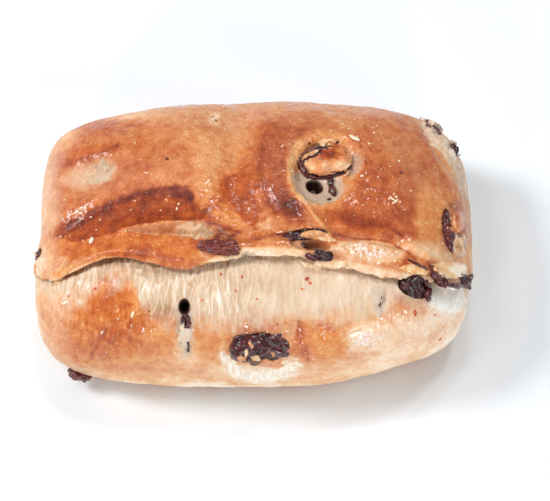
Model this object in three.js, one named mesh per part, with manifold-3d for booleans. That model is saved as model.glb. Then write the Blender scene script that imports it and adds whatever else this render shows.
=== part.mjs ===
// A raisin roll: a soft oblong bun whose top has burst open along the front, with raisins in the crust.
// Millimetres. +X runs along the roll, -Y is the front with the open tear, +Z is up.
// The roll stands on z = 0, with the origin under the middle of its box.

import * as THREE from 'three';
import { mergeVertices } from 'three/addons/utils/BufferGeometryUtils.js';
import Module from 'manifold-3d';

const wasm = await Module();
wasm.setup();

// Driving dimensions of the dough
const HALF_LENGTH = 53.5;
const HALF_DEPTH = 36;
const WAIST = 16;                 // height of the widest section
const CROWN = 25;                 // from the waist up to the crown, before the bulges
const BELLY = 22;                 // from the waist down, cut off by the flat base
const PLAN_POWER = 3.7;           // how square the roll is from above
const CROWN_POWER = 2.35;
const BELLY_POWER = 3;
const BASE_ROUND = 3;             // soft edge round the base
const BASE_TRIM = 0.15;           // shaved off the base to leave one flat face
const MESH_STEPS = [34, 22, 11];  // facets along, across and up the roll

// The tear is drawn in degrees round this line, from the front (0) over the top (90) to the back
const AXIS_Y = -9;
const AXIS_Z = 17;
const ARC = 0.42;                 // millimetres of crust for each degree

// Swellings and hollows: x, y, z, reach, height
const SWELLINGS = [
  [38, -39, 4, 15, -5.2],         // the front right foot is drawn in
  [49, -27, 10, 9, 0.7],
  [-50, -30, 12, 15, 2.8],        // the front left corner is full
  [-30, 37, 24, 20, -2.2],        // the back falls away on the left
  [-50, 28, 20, 13, 2.4],
  [47, 30, 18, 16, 1.2],
  [0, 34, 22, 30, 1],
  [-38, 8, 36, 6, -1.1],          // pale dent, left of the crown
  [-18, 12, 40, 10, 0.9],         // left lobe
  [-8, 23, 37, 5, -0.9],          // valley between the left and middle lobes
  [-5, 9, 41, 5, -0.7],
  [-4, -4, 41, 6, -0.9],
  [2, 3, 41, 7, 0.5],             // middle lobe
  [16.3, 4.5, 41, 6.5, -2.2],     // crater round the crown raisin
  [20, -9.5, 40, 5, -0.9],        // valley below the crater
  [32, -3, 38, 10, 0.9],          // right lobe
  [51, -2, 27, 3.5, 1],           // lump beside the raisin in the right shoulder
  [-54, -8, 19, 5, 0.8],          // knob on the left end
];

// Lines over the crust: x, degrees
const LIP = [
  [-56, 45], [-51, 51], [-46.5, 57.5], [-42, 65], [-36, 71.5], [-31, 71.5], [-25, 67.5], [-17.5, 63.5],
  [-11, 67.5], [-5, 70], [-2, 73], [10.5, 72], [14.5, 67], [22, 65], [30, 60], [43, 54.5], [48, 46],
  [56, 38],
];
const TEAR_FOOT = [
  [-56, 43], [-47, 44.5], [-37, 52], [-31, 45], [-24, 40], [-12, 36], [9.5, 31], [15, 37], [35, 42],
  [41, 37], [46, 26], [56, 16],
];
const RIDGE = [
  [-56, 104], [-46, 110], [-33, 115.5], [-20, 114], [-10, 98], [2, 87], [13, 84.5], [23, 88], [34, 84.5],
  [42, 69], [56, 50],
];
// Heights and depths along the roll: x, millimetres
const RIDGE_STEP = [
  [-54, 0], [-46, 1], [-30, 1.5], [-17, 1.4], [-8, 0.6], [12, 0.4], [24, 0.9], [36, 1], [48, 0],
];
const TEAR_DEPTH = [[-54, 1], [-48, 2.2], [-38, 4.6], [-28, 4.4], [-15, 3.2], [20, 3.4], [38, 4], [56, 3]];
const LIP_BEAD = 0.9;             // rolled edge of the top crust
const LIP_THICKNESS = 1.1;
const LIP_OVERHANG = 0.6;         // of the tear's depth
const RIGHT_INSET = 3;            // the lower crust is set back under the lip at the right end
const CLEARANCE = 0.35;           // round every raisin
const TEAR_STEPS = [30, 4, 2];    // facets along, across and down the tear

// 0 at one value, 1 at another, whichever of them is larger
function smoothStep(from, to, value) {
  const t = THREE.MathUtils.clamp((value - from) / (to - from), 0, 1);
  return t * t * (3 - 2 * t);
}

// A smooth line through a table of [x, value] rows
function along(table, x) {
  const last = table.length - 1;
  if (x <= table[0][0]) return table[0][1];
  if (x >= table[last][0]) return table[last][1];
  let row = 0;
  while (table[row + 1][0] < x) row += 1;
  const slope = (a, b) => (table[b][1] - table[a][1]) / (table[b][0] - table[a][0]);
  const width = table[row + 1][0] - table[row][0];
  const t = (x - table[row][0]) / width;
  const leave = slope(Math.max(row - 1, 0), row + 1) * width;
  const arrive = slope(row, Math.min(row + 2, last)) * width;
  return table[row][1] * (2 * t * t * t - 3 * t * t + 1) + leave * (t * t * t - 2 * t * t + t)
    + table[row + 1][1] * (3 * t * t - 2 * t * t * t) + arrive * (t * t * t - t * t);
}

function tearDegrees(y, z) {
  return THREE.MathUtils.radToDeg(Math.atan2(z - AXIS_Z, AXIS_Y - y));
}

// Relief of the folds in the crust, in millimetres outwards
function foldRelief(x, y, z) {
  const degrees = tearDegrees(y, z);
  const pastLip = (degrees - along(LIP, x)) * ARC;
  const pastRidge = (degrees - along(RIDGE, x)) * ARC;
  const bead = LIP_BEAD * Math.exp(-(((pastLip - 1.6) / 2.2) ** 2));
  const ridge = along(RIDGE_STEP, x) * smoothStep(-1.4, 1.4, pastRidge) * smoothStep(34, 12, pastRidge);
  const belowLip = smoothStep(-0.6, -3.4, pastLip) * (0.3 + 0.7 * smoothStep(-20, 30, degrees));
  const inset = RIGHT_INSET * smoothStep(38, 50, x) * belowLip * smoothStep(-170, -60, degrees);
  return (bead + ridge) * smoothStep(54, 46, Math.abs(x)) - inset;
}

// The length of a vector in a space where circles are squared off
function powerSum(a, b, power) {
  return (Math.abs(a) ** power + Math.abs(b) ** power) ** (1 / power);
}

// Distance to the crust, negative inside the dough
function dough(x, y, z) {
  const rise = z - WAIST;
  const plan = powerSum(x / HALF_LENGTH, y / HALF_DEPTH, PLAN_POWER);
  const power = rise > 0 ? CROWN_POWER : BELLY_POWER;
  const reach = rise > 0 ? CROWN : BELLY;
  const size = powerSum(plan, rise / reach, power);
  let distance = Math.hypot(x, y, rise) * (1 - 1 / Math.max(size, 0.001));
  for (const [sx, sy, sz, extent, height] of SWELLINGS) {
    distance -= height * Math.exp(-((x - sx) ** 2 + (y - sy) ** 2 + (z - sz) ** 2) / extent ** 2);
  }
  distance -= foldRelief(x, y, z);
  const underside = -z - BASE_TRIM;
  const blend = THREE.MathUtils.clamp(0.5 + (0.5 * (distance - underside)) / BASE_ROUND, 0, 1);
  return underside + (distance - underside) * blend + BASE_ROUND * blend * (1 - blend);
}

// How far the crust lies from a point inside, along a direction
function crustAlong(start, direction, limit = 90) {
  let near = 0;
  let far = limit;
  for (let i = 0; i < 40; i += 1) {
    const middle = (near + far) / 2;
    const p = start.clone().addScaledVector(direction, middle);
    if (dough(p.x, p.y, p.z) < 0) near = middle;
    else far = middle;
  }
  return near;
}

function crustNormal(p) {
  const h = 0.4;
  return new THREE.Vector3(
    dough(p.x + h, p.y, p.z) - dough(p.x - h, p.y, p.z),
    dough(p.x, p.y + h, p.z) - dough(p.x, p.y - h, p.z),
    dough(p.x, p.y, p.z + h) - dough(p.x, p.y, p.z - h),
  ).normalize();
}

// Moves every vertex of a geometry, then welds the seams of the grid
function reshape(geometry, place) {
  const position = geometry.attributes.position;
  const p = new THREE.Vector3();
  for (let i = 0; i < position.count; i += 1) {
    p.fromBufferAttribute(position, i);
    place(p);
    position.setXYZ(i, p.x, p.y, p.z);
  }
  geometry.deleteAttribute('normal');
  geometry.deleteAttribute('uv');
  return mergeVertices(geometry);
}

function toSolid(geometry) {
  return new wasm.Manifold(new wasm.Mesh({
    numProp: 3,
    vertProperties: new Float32Array(geometry.attributes.position.array),
    triVerts: new Uint32Array(geometry.index.array),
  }));
}

function toGeometry(solid) {
  const mesh = solid.getMesh();
  const geometry = new THREE.BufferGeometry();
  geometry.setAttribute('position', new THREE.BufferAttribute(mesh.vertProperties, 3));
  geometry.setIndex(new THREE.BufferAttribute(mesh.triVerts, 1));
  geometry.computeVertexNormals();
  return geometry;
}

// The whole dough, before it tears: a box of facets pushed out to the crust
function doughGeometry() {
  const box = new THREE.BoxGeometry(HALF_LENGTH * 2, HALF_DEPTH * 2, CROWN + WAIST, ...MESH_STEPS);
  const heart = new THREE.Vector3(0, 0, WAIST);
  return reshape(box, (p) => {
    const direction = p.clone().normalize();
    const distance = crustAlong(heart, direction);
    p.copy(heart).addScaledVector(direction, distance);
  });
}

// A slab under the roll, whose top is the surface that it stands on
function groundGeometry() {
  const height = 10;
  const slab = new THREE.BoxGeometry(HALF_LENGTH * 3, HALF_DEPTH * 3, height);
  return reshape(slab, (p) => p.setZ(p.z - height / 2));
}

// The opening: a sheet wrapped round the crust, deepest under the lip and running out at its foot
function tearGeometry() {
  const box = new THREE.BoxGeometry(1, 1, 1, ...TEAR_STEPS);
  const above = 3;
  const reach = HALF_LENGTH + 3;
  const lastSound = HALF_LENGTH - 3.5;
  return reshape(box, (p) => {
    const x = p.x * 2 * reach;
    const across = p.y + 0.5;
    const down = 0.5 - p.z;
    const depth = along(TEAR_DEPTH, x);
    const floor = depth * (1.12 * across ** 1.3 - 0.12);
    const foot = along(TEAR_FOOT, x);
    const overhang = (depth * LIP_OVERHANG * Math.max(0, 2 * down - 1)) / ARC;
    const degrees = foot + across * (along(LIP, x) + overhang - foot);
    const angle = THREE.MathUtils.degToRad(degrees);
    const start = new THREE.Vector3(THREE.MathUtils.clamp(x, -lastSound, lastSound), AXIS_Y, AXIS_Z);
    const direction = new THREE.Vector3(0, -Math.cos(angle), Math.sin(angle));
    const crust = crustAlong(start, direction);
    const middle = Math.min(LIP_THICKNESS, floor * 0.5);
    const sunk = down < 0.5
      ? THREE.MathUtils.lerp(-above, middle, down * 2)
      : THREE.MathUtils.lerp(middle, floor, down * 2 - 1);
    start.x = x;
    p.copy(start).addScaledVector(direction, crust - sunk);
  });
}

// Raisins: where each meets the crust, its length, width and thickness, its turn on the crust in
// degrees, how far its middle is sunk, and how much it bends or narrows along its length
const RAISINS = {
  front: { at: [0.9, -34.5, 25], size: [14.9, 10, 7.6], turn: 3, sunk: 1.5 },
  seam: { at: [-8.8, -14.9, 39.8], size: [11.2, 4.8, 4], turn: -6, sunk: 0.9 },
  under_lip: { at: [16.4, -16.9, 39], size: [6.6, 3.2, 3], turn: -4, sunk: 0.9 },
  crack: { at: [12, -11.6, 40.4], size: [11, 2.8, 2.6], turn: 9, sunk: 0.6 },
  hollow: { at: [11, -13.6, 40], size: [3.2, 2.4, 2.2], turn: 0, sunk: 1.8 },
  gap: { at: [38.4, -21.9, 31.7], size: [8.2, 6.4, 4.6], turn: -62, sunk: 1.7, taper: 0.45 },
  lip_a: { at: [43.4, -17.7, 31], size: [7.4, 3.4, 3], turn: -40, sunk: 0.7 },
  lip_b: { at: [50, -15.5, 24.5], size: [7.6, 3.2, 3], turn: 8, sunk: 0.8, bend: -0.8 },
  crater: { at: [17.1, 8.5, 39.6], size: [13.4, 10.2, 6.2], turn: 8, sunk: 1.4 },
  side: { at: [46.8, -4.8, 30.4], size: [13.4, 5, 5], turn: 97, sunk: 1.7 },
  corner: { at: [-44.2, -32, 4.6], size: [6.6, 4.8, 4.4], turn: -28, sunk: 0.8 },
  slit: { at: [-16.6, -30.8, 31.2], size: [4.8, 2.8, 3], turn: 95, sunk: 1.2 },
  shoulder_a: { at: [45, 29, 26], size: [4.8, 3.4, 3], turn: -30, sunk: 0.8 },
  shoulder_b: { at: [49.8, 22.4, 24.6], size: [3.8, 3, 3], turn: -60, sunk: 0.7 },
  left: { at: [-53, -7, 22], size: [3.4, 2.4, 2.4], turn: 60, sunk: 0.6 },
  back_a: { at: [-21, 36, 21], size: [10.5, 6.6, 5.4], turn: 172, sunk: 1.6 },
  back_b: { at: [24, 36, 14], size: [7.6, 5, 4.6], turn: 20, sunk: 1.5 },
};
const RAISIN_FOLDS = 2.5;         // half waves round a raisin
const FOLD_DEPTH = 0.1;           // of its radius

// A wrinkled raisin lying along X, made larger by a margin for the socket that it sits in
function raisinGeometry({ size, bend = 0, taper = 0 }, margin) {
  const rounds = size[0] > 6 ? 12 : 8;
  const sphere = new THREE.SphereGeometry(1, rounds, Math.round(rounds * 0.7));
  sphere.rotateZ(-Math.PI / 2);
  const [length, width, thickness] = size.map((s) => s / 2 + margin);
  return reshape(sphere, (p) => {
    const round = Math.atan2(p.z, p.y);
    const fold = 1 - FOLD_DEPTH * Math.abs(Math.sin(RAISIN_FOLDS * round + 1.4 * p.x)) * (1 - p.x * p.x);
    const narrow = 1 - taper * p.x;
    const curve = bend * (p.x * p.x - 0.35);
    p.set(p.x * length, p.y * width * fold * narrow + curve, p.z * thickness * fold * narrow);
  });
}

// The frame of a raisin on the crust: its length follows +X turned about the crust's normal
function raisinFrame({ at, turn, sunk }) {
  const seat = new THREE.Vector3(...at);
  for (let i = 0; i < 12; i += 1) {
    seat.addScaledVector(crustNormal(seat), -dough(seat.x, seat.y, seat.z) * 0.8);
  }
  const normal = crustNormal(seat);
  const side = Math.abs(normal.x) > 0.98 ? new THREE.Vector3(0, 1, 0) : new THREE.Vector3(1, 0, 0);
  const lengthwise = side.addScaledVector(normal, -side.dot(normal)).normalize();
  lengthwise.applyAxisAngle(normal, THREE.MathUtils.degToRad(turn));
  const crosswise = normal.clone().cross(lengthwise);
  const frame = new THREE.Matrix4().makeBasis(lengthwise, crosswise, normal);
  return frame.setPosition(seat.addScaledVector(normal, -sunk));
}

// Two more openings in the crust that hold no raisin of their own, and the pocket over the lip
const HOLES = {
  crater_hole: { at: [13.6, 1.4, 40], size: [4.6, 4.6, 8], turn: 0, sunk: 2.2 },
  slit_hole: { at: [-16.8, -27.6, 33.8], size: [4.2, 3, 7], turn: 90, sunk: 2 },
  pocket: { at: [14.6, -14.2, 40], size: [8.4, 4, 6], turn: -4, sunk: 0.8 },
};

const crust = new THREE.MeshStandardMaterial({ color: 0xc8834f, roughness: 0.5, metalness: 0 });
const raisinSkin = new THREE.MeshStandardMaterial({ color: 0x2e1a1c, roughness: 0.35, metalness: 0 });

const roll = new THREE.Group();
let bread = toSolid(doughGeometry());
bread = bread.subtract(toSolid(tearGeometry()));
bread = bread.subtract(toSolid(groundGeometry()));
for (const hole of Object.values(HOLES)) {
  bread = bread.subtract(toSolid(raisinGeometry(hole, 0).applyMatrix4(raisinFrame(hole))));
}
for (const [name, raisin] of Object.entries(RAISINS)) {
  const frame = raisinFrame(raisin);
  bread = bread.subtract(toSolid(raisinGeometry(raisin, CLEARANCE).applyMatrix4(frame)));
  const mesh = new THREE.Mesh(raisinGeometry(raisin, 0), raisinSkin);
  mesh.name = `raisin_${name}`;
  mesh.applyMatrix4(frame);
  roll.add(mesh);
}
const breadMesh = new THREE.Mesh(toGeometry(bread), crust);
breadMesh.name = 'bread';
roll.add(breadMesh);

// Set the origin under the middle of the box
roll.updateMatrixWorld(true);
const box = new THREE.Box3().setFromObject(roll);
const middle = box.getCenter(new THREE.Vector3());
roll.position.set(-middle.x, -middle.y, 0);

export default roll;
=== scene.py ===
"""The looks of a raisin roll: a soft bun torn open along its front, with raisins in the crust.

The shape is worked out in millimetres in the dough's own axes, X along the roll, -Y its front and Z up,
and every mesh is moved to the frame in metres at the end.
"""
import math

import bpy
import numpy as np
from mathutils.bvhtree import BVHTree
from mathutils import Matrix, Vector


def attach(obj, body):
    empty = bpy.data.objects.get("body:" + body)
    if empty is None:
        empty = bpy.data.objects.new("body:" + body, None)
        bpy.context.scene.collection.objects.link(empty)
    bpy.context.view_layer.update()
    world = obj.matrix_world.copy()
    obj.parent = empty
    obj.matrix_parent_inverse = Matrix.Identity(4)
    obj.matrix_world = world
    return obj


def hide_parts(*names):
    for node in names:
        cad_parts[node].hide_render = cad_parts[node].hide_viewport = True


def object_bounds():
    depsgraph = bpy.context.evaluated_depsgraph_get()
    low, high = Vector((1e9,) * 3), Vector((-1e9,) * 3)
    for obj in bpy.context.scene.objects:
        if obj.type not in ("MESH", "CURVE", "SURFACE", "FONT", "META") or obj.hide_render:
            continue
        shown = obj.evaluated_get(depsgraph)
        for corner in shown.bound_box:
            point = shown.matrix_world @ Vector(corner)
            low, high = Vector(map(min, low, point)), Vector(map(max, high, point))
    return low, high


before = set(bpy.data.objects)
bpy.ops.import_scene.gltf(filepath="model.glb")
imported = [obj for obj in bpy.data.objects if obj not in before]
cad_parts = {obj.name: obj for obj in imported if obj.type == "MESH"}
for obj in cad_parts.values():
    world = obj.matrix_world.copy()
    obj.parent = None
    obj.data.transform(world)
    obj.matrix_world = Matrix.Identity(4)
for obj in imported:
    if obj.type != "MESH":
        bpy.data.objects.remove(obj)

cad_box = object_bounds()

# The dough, with the same driving dimensions as the solids
HALF_LENGTH, HALF_DEPTH, WAIST, CROWN, BELLY = 53.5, 36.0, 16.0, 25.0, 22.0
PLAN_POWER, CROWN_POWER, BELLY_POWER = 3.7, 2.35, 3.0
BASE_ROUND, BASE_TRIM = 3.0, 0.15
AXIS_Y, AXIS_Z, ARC = -9.0, 17.0, 0.42
SHIFT = np.array([0.496, 0.608, 0.0])

# Swellings and hollows: x, y, z, reach, height
SWELLINGS = (
    (38, -39, 4, 15, -5.2), (49, -27, 10, 9, 0.7), (-50, -30, 12, 15, 2.8), (-30, 37, 24, 20, -2.2),
    (-50, 28, 20, 13, 2.4), (47, 30, 18, 16, 1.2), (0, 34, 22, 30, 1), (-38, 8, 36, 6, -1.1),
    (-18, 12, 40, 10, 0.9), (-8, 23, 37, 5, -0.9), (-5, 9, 41, 5, -0.7), (-4, -4, 41, 6, -0.9),
    (2, 3, 41, 7, 0.5), (16.3, 4.5, 41, 6.5, -2.2), (20, -9.5, 40, 5, -0.9), (32, -3, 38, 10, 0.9),
    (51, -2, 27, 3.5, 1), (-54, -8, 19, 5, 0.8),
)

# Lines over the crust: x, degrees round the axis from the front (0) over the top (90) to the back
LIP = (
    (-56, 45), (-51, 51), (-46.5, 57.5), (-42, 65), (-36, 71.5), (-31, 71.5), (-25, 67.5), (-17.5, 63.5),
    (-11, 67.5), (-5, 70), (-2, 73), (10.5, 72), (14.5, 67), (22, 65), (30, 60), (43, 54.5), (48, 46),
    (56, 38),
)
TEAR_FOOT = (
    (-56, 43), (-47, 44.5), (-37, 52), (-31, 45), (-24, 40), (-12, 36), (9.5, 31), (15, 37), (35, 42),
    (41, 37), (46, 26), (56, 16),
)
RIDGE = (
    (-56, 104), (-46, 110), (-33, 115.5), (-20, 114), (-10, 98), (2, 87), (13, 84.5), (23, 88), (34, 84.5),
    (42, 69), (56, 50),
)
RIDGE_STEP = (
    (-54, 0), (-46, 1), (-30, 1.5), (-17, 1.4), (-8, 0.6), (12, 0.4), (24, 0.9), (36, 1), (48, 0),
)
TEAR_DEPTH = (
    (-54, 1), (-48, 2.2), (-38, 4.6), (-28, 4.4), (-15, 3.2), (20, 3.4), (38, 4), (56, 3),
)
LIP_BEAD, LIP_THICKNESS, LIP_OVERHANG, RIGHT_INSET = 0.9, 1.1, 0.6, 3.0
TONGUE_X, TONGUE_WIDTH = 2.7, 7.0
CRUMB_BED = 0.7    # the crumb is a sheet of its own, which lies in a slightly deeper bed

# Raisins: seat on the crust, size, turn, how far sunk, then bend and taper where they have any
RAISINS = {
    "front": dict(at=(0.9, -34.5, 25), size=(14.9, 10, 7.6), turn=3, sunk=1.5),
    "seam": dict(at=(-8.8, -14.9, 39.8), size=(11.2, 4.8, 4), turn=-6, sunk=0.9),
    "under_lip": dict(at=(16.4, -16.9, 39), size=(6.6, 3.2, 3), turn=-4, sunk=0.9),
    "crack": dict(at=(12, -11.6, 40.4), size=(11, 2.8, 2.6), turn=9, sunk=0.6),
    "hollow": dict(at=(11, -13.6, 40), size=(3.2, 2.4, 2.2), turn=0, sunk=1.8),
    "gap": dict(at=(38.4, -21.9, 31.7), size=(8.2, 6.4, 4.6), turn=-62, sunk=1.7, taper=0.45),
    "lip_a": dict(at=(43.4, -17.7, 31), size=(7.4, 3.4, 3), turn=-40, sunk=0.7),
    "lip_b": dict(at=(50, -15.5, 24.5), size=(7.6, 3.2, 3), turn=8, sunk=0.8, bend=-0.8),
    "crater": dict(at=(17.1, 8.5, 39.6), size=(13.4, 10.2, 6.2), turn=8, sunk=1.4),
    "side": dict(at=(46.8, -4.8, 30.4), size=(13.4, 5, 5), turn=97, sunk=1.7),
    "corner": dict(at=(-44.2, -32, 4.6), size=(6.6, 4.8, 4.4), turn=-28, sunk=0.8),
    "slit": dict(at=(-16.6, -30.8, 31.2), size=(4.8, 2.8, 3), turn=95, sunk=1.2),
    "shoulder_a": dict(at=(45, 29, 26), size=(4.8, 3.4, 3), turn=-30, sunk=0.8),
    "shoulder_b": dict(at=(49.8, 22.4, 24.6), size=(3.8, 3, 3), turn=-60, sunk=0.7),
    "left": dict(at=(-53, -7, 22), size=(3.4, 2.4, 2.4), turn=60, sunk=0.6),
    "back_a": dict(at=(-21, 36, 21), size=(10.5, 6.6, 5.4), turn=172, sunk=1.6),
    "back_b": dict(at=(24, 36, 14), size=(7.6, 5, 4.6), turn=20, sunk=1.5),
}
RAISIN_FOLDS, FOLD_DEPTH = 2.5, 0.1
# Holes, the same columns, then their room in the body and how far the sheets over it reach into them
HOLES = {
    "crater_hole": dict(at=(14.5, 2.8, 40), size=(4.3, 4.3, 8), turn=0, sunk=2.2, room=0.9, inward=0.1),
    "slit_hole": dict(at=(-16.7, -27.9, 33.8), size=(3.7, 2.7, 7), turn=90, sunk=2, room=0.9, inward=0.1),
    "pocket": dict(at=(14.6, -14.2, 40), size=(8.4, 4, 6), turn=-4, sunk=0.8, room=0.0, inward=0.6),
}
SOCKET_ROOM = 0.15    # round each raisin, in the body

# The photograph's view: its frame in pixels, and the camera that saw it
PHOTO_WIDTH, PHOTO_HEIGHT = 550, 501
VIEW_ELEVATION = math.radians(60)
VIEW_DISTANCE = 600.0
PIXEL = 0.25    # the size of a pixel at the roll, in millimetres
PIXELS_AT_ONE = VIEW_DISTANCE / PIXEL
AIM = np.array([4.75, 0.2, 12.0])
VIEW_BACK = np.array([0, -math.cos(VIEW_ELEVATION), math.sin(VIEW_ELEVATION)])
VIEW_UP = np.array([0, math.sin(VIEW_ELEVATION), math.cos(VIEW_ELEVATION)])
EYE = AIM + VIEW_DISTANCE * VIEW_BACK


def smooth_step(start, end, value):
    """0 at the start and 1 at the end, with a smooth way between them."""
    t = np.clip((value - start) / (end - start), 0, 1)
    return t * t * (3 - 2 * t)


def along(table, x):
    """A smooth line through a table of (x, value) rows."""
    knots, values = np.array(table, float).T
    last = len(knots) - 1
    row = np.clip(np.searchsorted(knots, x) - 1, 0, last - 1)

    def slope(a, b):
        return (values[b] - values[a]) / (knots[b] - knots[a])

    width = knots[row + 1] - knots[row]
    t = np.clip((x - knots[row]) / width, 0, 1)
    leave = slope(np.maximum(row - 1, 0), row + 1) * width
    arrive = slope(row, np.minimum(row + 2, last)) * width
    return (values[row] * (2 * t ** 3 - 3 * t ** 2 + 1) + leave * (t ** 3 - 2 * t ** 2 + t)
            + values[row + 1] * (3 * t ** 2 - 2 * t ** 3) + arrive * (t ** 3 - t ** 2))


def noise(points, size, seed=0):
    """Smooth noise between about -1 and 1. size is its cell, one number or one for each axis."""
    q = points / np.asarray(size, float) + seed * 17.31
    cell = np.floor(q).astype(np.int64)
    part = q - cell
    ease = part ** 3 * (part * (part * 6 - 15) + 10)
    total = np.zeros(len(q))
    for corner in range(8):
        step = np.array([corner & 1, corner >> 1 & 1, corner >> 2 & 1])
        h = cell + step
        key = (h[:, 0] * 73856093 ^ h[:, 1] * 19349663 ^ h[:, 2] * 83492791) & 0xFFFFFFFF
        key = (key ^ (key >> 13)) * 1274126177 & 0xFFFFFFFF
        key = key ^ (key >> 16)
        slopes = np.stack([key & 1023, key >> 10 & 1023, key >> 20 & 1023], 1) / 511.5 - 1
        weight = np.prod(np.where(step == 1, ease, 1 - ease), axis=1)
        total += weight * ((part - step) * slopes).sum(1)
    return total * 1.4


def layered(points, size, layers, seed=0):
    """Noise in layers, each half the size and height of the one before."""
    size = np.asarray(size, float)
    return sum(noise(points, size / 2 ** i, seed + i) / 2 ** i for i in range(layers))


def bumps(points, noises, start=0.0):
    """A start value with noises added to it, each by its height, cell and seed."""
    return sum((height * noise(points, cell, seed) for height, cell, seed in noises), start)


def tear_degrees(y, z):
    """Degrees round the axis along which the tear runs, 0 at the front and 90 on top."""
    return np.degrees(np.arctan2(z - AXIS_Z, AXIS_Y - y))


def fold_relief(x, degrees):
    """How far the lip's bead and the ridge's fold stand out, in millimetres, less the inset at the right."""
    past_lip = (degrees - along(LIP, x)) * ARC
    past_ridge = (degrees - along(RIDGE, x)) * ARC
    bead = LIP_BEAD * np.exp(-((past_lip - 1.6) / 2.2) ** 2)
    ridge = along(RIDGE_STEP, x) * smooth_step(-1.4, 1.4, past_ridge) * smooth_step(34, 12, past_ridge)
    below = smooth_step(-0.6, -3.4, past_lip) * (0.3 + 0.7 * smooth_step(-20, 30, degrees))
    inset = RIGHT_INSET * smooth_step(38, 50, x) * below * smooth_step(-170, -60, degrees)
    return (bead + ridge) * smooth_step(54, 46, np.abs(x)) - inset


def dough(x, y, z):
    """Distance to the untorn crust in millimetres, negative inside."""
    rise = z - WAIST
    plan = (np.abs(x / HALF_LENGTH) ** PLAN_POWER + np.abs(y / HALF_DEPTH) ** PLAN_POWER) ** (1 / PLAN_POWER)
    power = np.where(rise > 0, CROWN_POWER, BELLY_POWER)
    reach = np.where(rise > 0, CROWN, BELLY)
    size = (plan ** power + np.abs(rise / reach) ** power) ** (1 / power)
    distance = np.sqrt(x * x + y * y + rise * rise) * (1 - 1 / np.maximum(size, 1e-3))
    for sx, sy, sz, extent, height in SWELLINGS:
        distance = distance - height * np.exp(-((x - sx) ** 2 + (y - sy) ** 2 + (z - sz) ** 2) / extent ** 2)
    distance = distance - fold_relief(x, tear_degrees(y, z))
    underside = -z - BASE_TRIM
    blend = np.clip(0.5 + 0.5 * (distance - underside) / BASE_ROUND, 0, 1)
    return underside + (distance - underside) * blend + BASE_ROUND * blend * (1 - blend)


def slope_of(field, points, step=0.4):
    """The direction and rate in which a field grows at points."""
    columns = []
    for axis in range(3):
        shift = np.zeros(3)
        shift[axis] = step
        columns.append(field(*(points + shift).T) - field(*(points - shift).T))
    return np.stack(columns, 1) / (2 * step)


def unit(vectors):
    return vectors / np.maximum(np.linalg.norm(vectors, axis=-1, keepdims=True), 1e-9)


def raisin_frame(at, turn, sunk, **_):
    """Axes of a raisin on the crust: its length follows +X turned about the crust's normal."""
    seat = np.array([at], float)
    for _ in range(12):
        seat = seat - unit(slope_of(dough, seat)) * dough(*seat.T)[:, None] * 0.8
    normal = unit(slope_of(dough, seat))[0]
    side = np.array([0.0, 1.0, 0.0] if abs(normal[0]) > 0.98 else [1.0, 0.0, 0.0])
    lengthwise = unit(side - normal * (side @ normal))
    angle = math.radians(turn)
    lengthwise = lengthwise * math.cos(angle) + np.cross(normal, lengthwise) * math.sin(angle)
    crosswise = np.cross(normal, lengthwise)
    return np.stack([lengthwise, crosswise, normal], 1), seat[0] - normal * sunk


INSETS = {**RAISINS, **HOLES}
FRAMES = {name: raisin_frame(**row) for name, row in INSETS.items()}


def blob_distance(name, points, margin=0.0):
    """Rough distance to a raisin or hole, in millimetres, negative inside."""
    row = INSETS[name]
    axes, centre = FRAMES[name]
    half = np.array(row["size"]) / 2 + margin
    local = (points - centre) @ axes
    a = local[..., 0] / half[0]
    narrow = 1 - row.get("taper", 0) * np.clip(a, -1, 1)
    b = (local[..., 1] - row.get("bend", 0) * (a * a - 0.35)) / (half[1] * narrow)
    c = local[..., 2] / (half[2] * narrow)
    size = np.sqrt(a * a + b * b + c * c)
    return (size - 1) * half.min()


def smooth_max(a, b, width):
    """The larger of two values, rounded off where they are closer than the width."""
    blend = np.clip(0.5 + 0.5 * (a - b) / width, 0, 1)
    return b + (a - b) * blend + width * blend * (1 - blend)


def tear_floor(depth, across):
    """How deep the tear is between its foot (0 across) and its lip (1 across)."""
    return depth * (1.12 * across ** 1.3 - 0.12)


def lip_tongue(x):
    """1 where the lip reaches furthest over the tear, fading out to both sides."""
    return np.exp(-((x - TONGUE_X) / TONGUE_WIDTH) ** 2)


def roll_points(x):
    """Points on the roll's long axis, for a noise that only changes along it."""
    return np.stack([x.ravel(), np.zeros(x.size), np.zeros(x.size)], 1)


def tear_depth_field(x, y, z, distance):
    """How far inside the tear's opening a point is, in millimetres, positive inside."""
    degrees = tear_degrees(y, z)
    lip, foot = along(LIP, x), along(TEAR_FOOT, x)
    depth = along(TEAR_DEPTH, x) + CRUMB_BED * smooth_step(52, 46, np.abs(x))
    ragged = 0.42 * layered(roll_points(x), 3.1, 3, 5).reshape(x.shape) + 0.9 * lip_tongue(x)
    past_lip = (degrees - lip) * ARC + ragged
    across = np.clip((degrees - foot) / (lip - foot), 0, 1)
    floor = tear_floor(depth, across)
    deep = -distance
    overhang = depth * LIP_OVERHANG * smooth_step(LIP_THICKNESS * 0.6, depth, deep)
    return np.minimum(floor - deep, overhang - past_lip)


def carve(distance, points, name, room, width):
    """Cuts a raisin's socket or a hole out of the crust, with a soft edge of the given width."""
    reach = max(INSETS[name]["size"]) / 2 + 2
    near = ((points - FRAMES[name][1]) ** 2).sum(-1) < reach * reach
    if near.any():
        distance[near] = smooth_max(distance[near], -blob_distance(name, points[near], room), width)


def crust_field(x, y, z):
    """Distance to the crust with its tear, holes and sockets, negative inside."""
    distance = dough(x, y, z)
    distance = smooth_max(distance, tear_depth_field(x, y, z, distance), 0.5)
    points = np.stack([x, y, z], -1)
    for name, row in HOLES.items():
        carve(distance, points, name, row["room"], 0.6)
    for name in RAISINS:
        carve(distance, points, name, SOCKET_ROOM, 0.5)
    return distance


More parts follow.
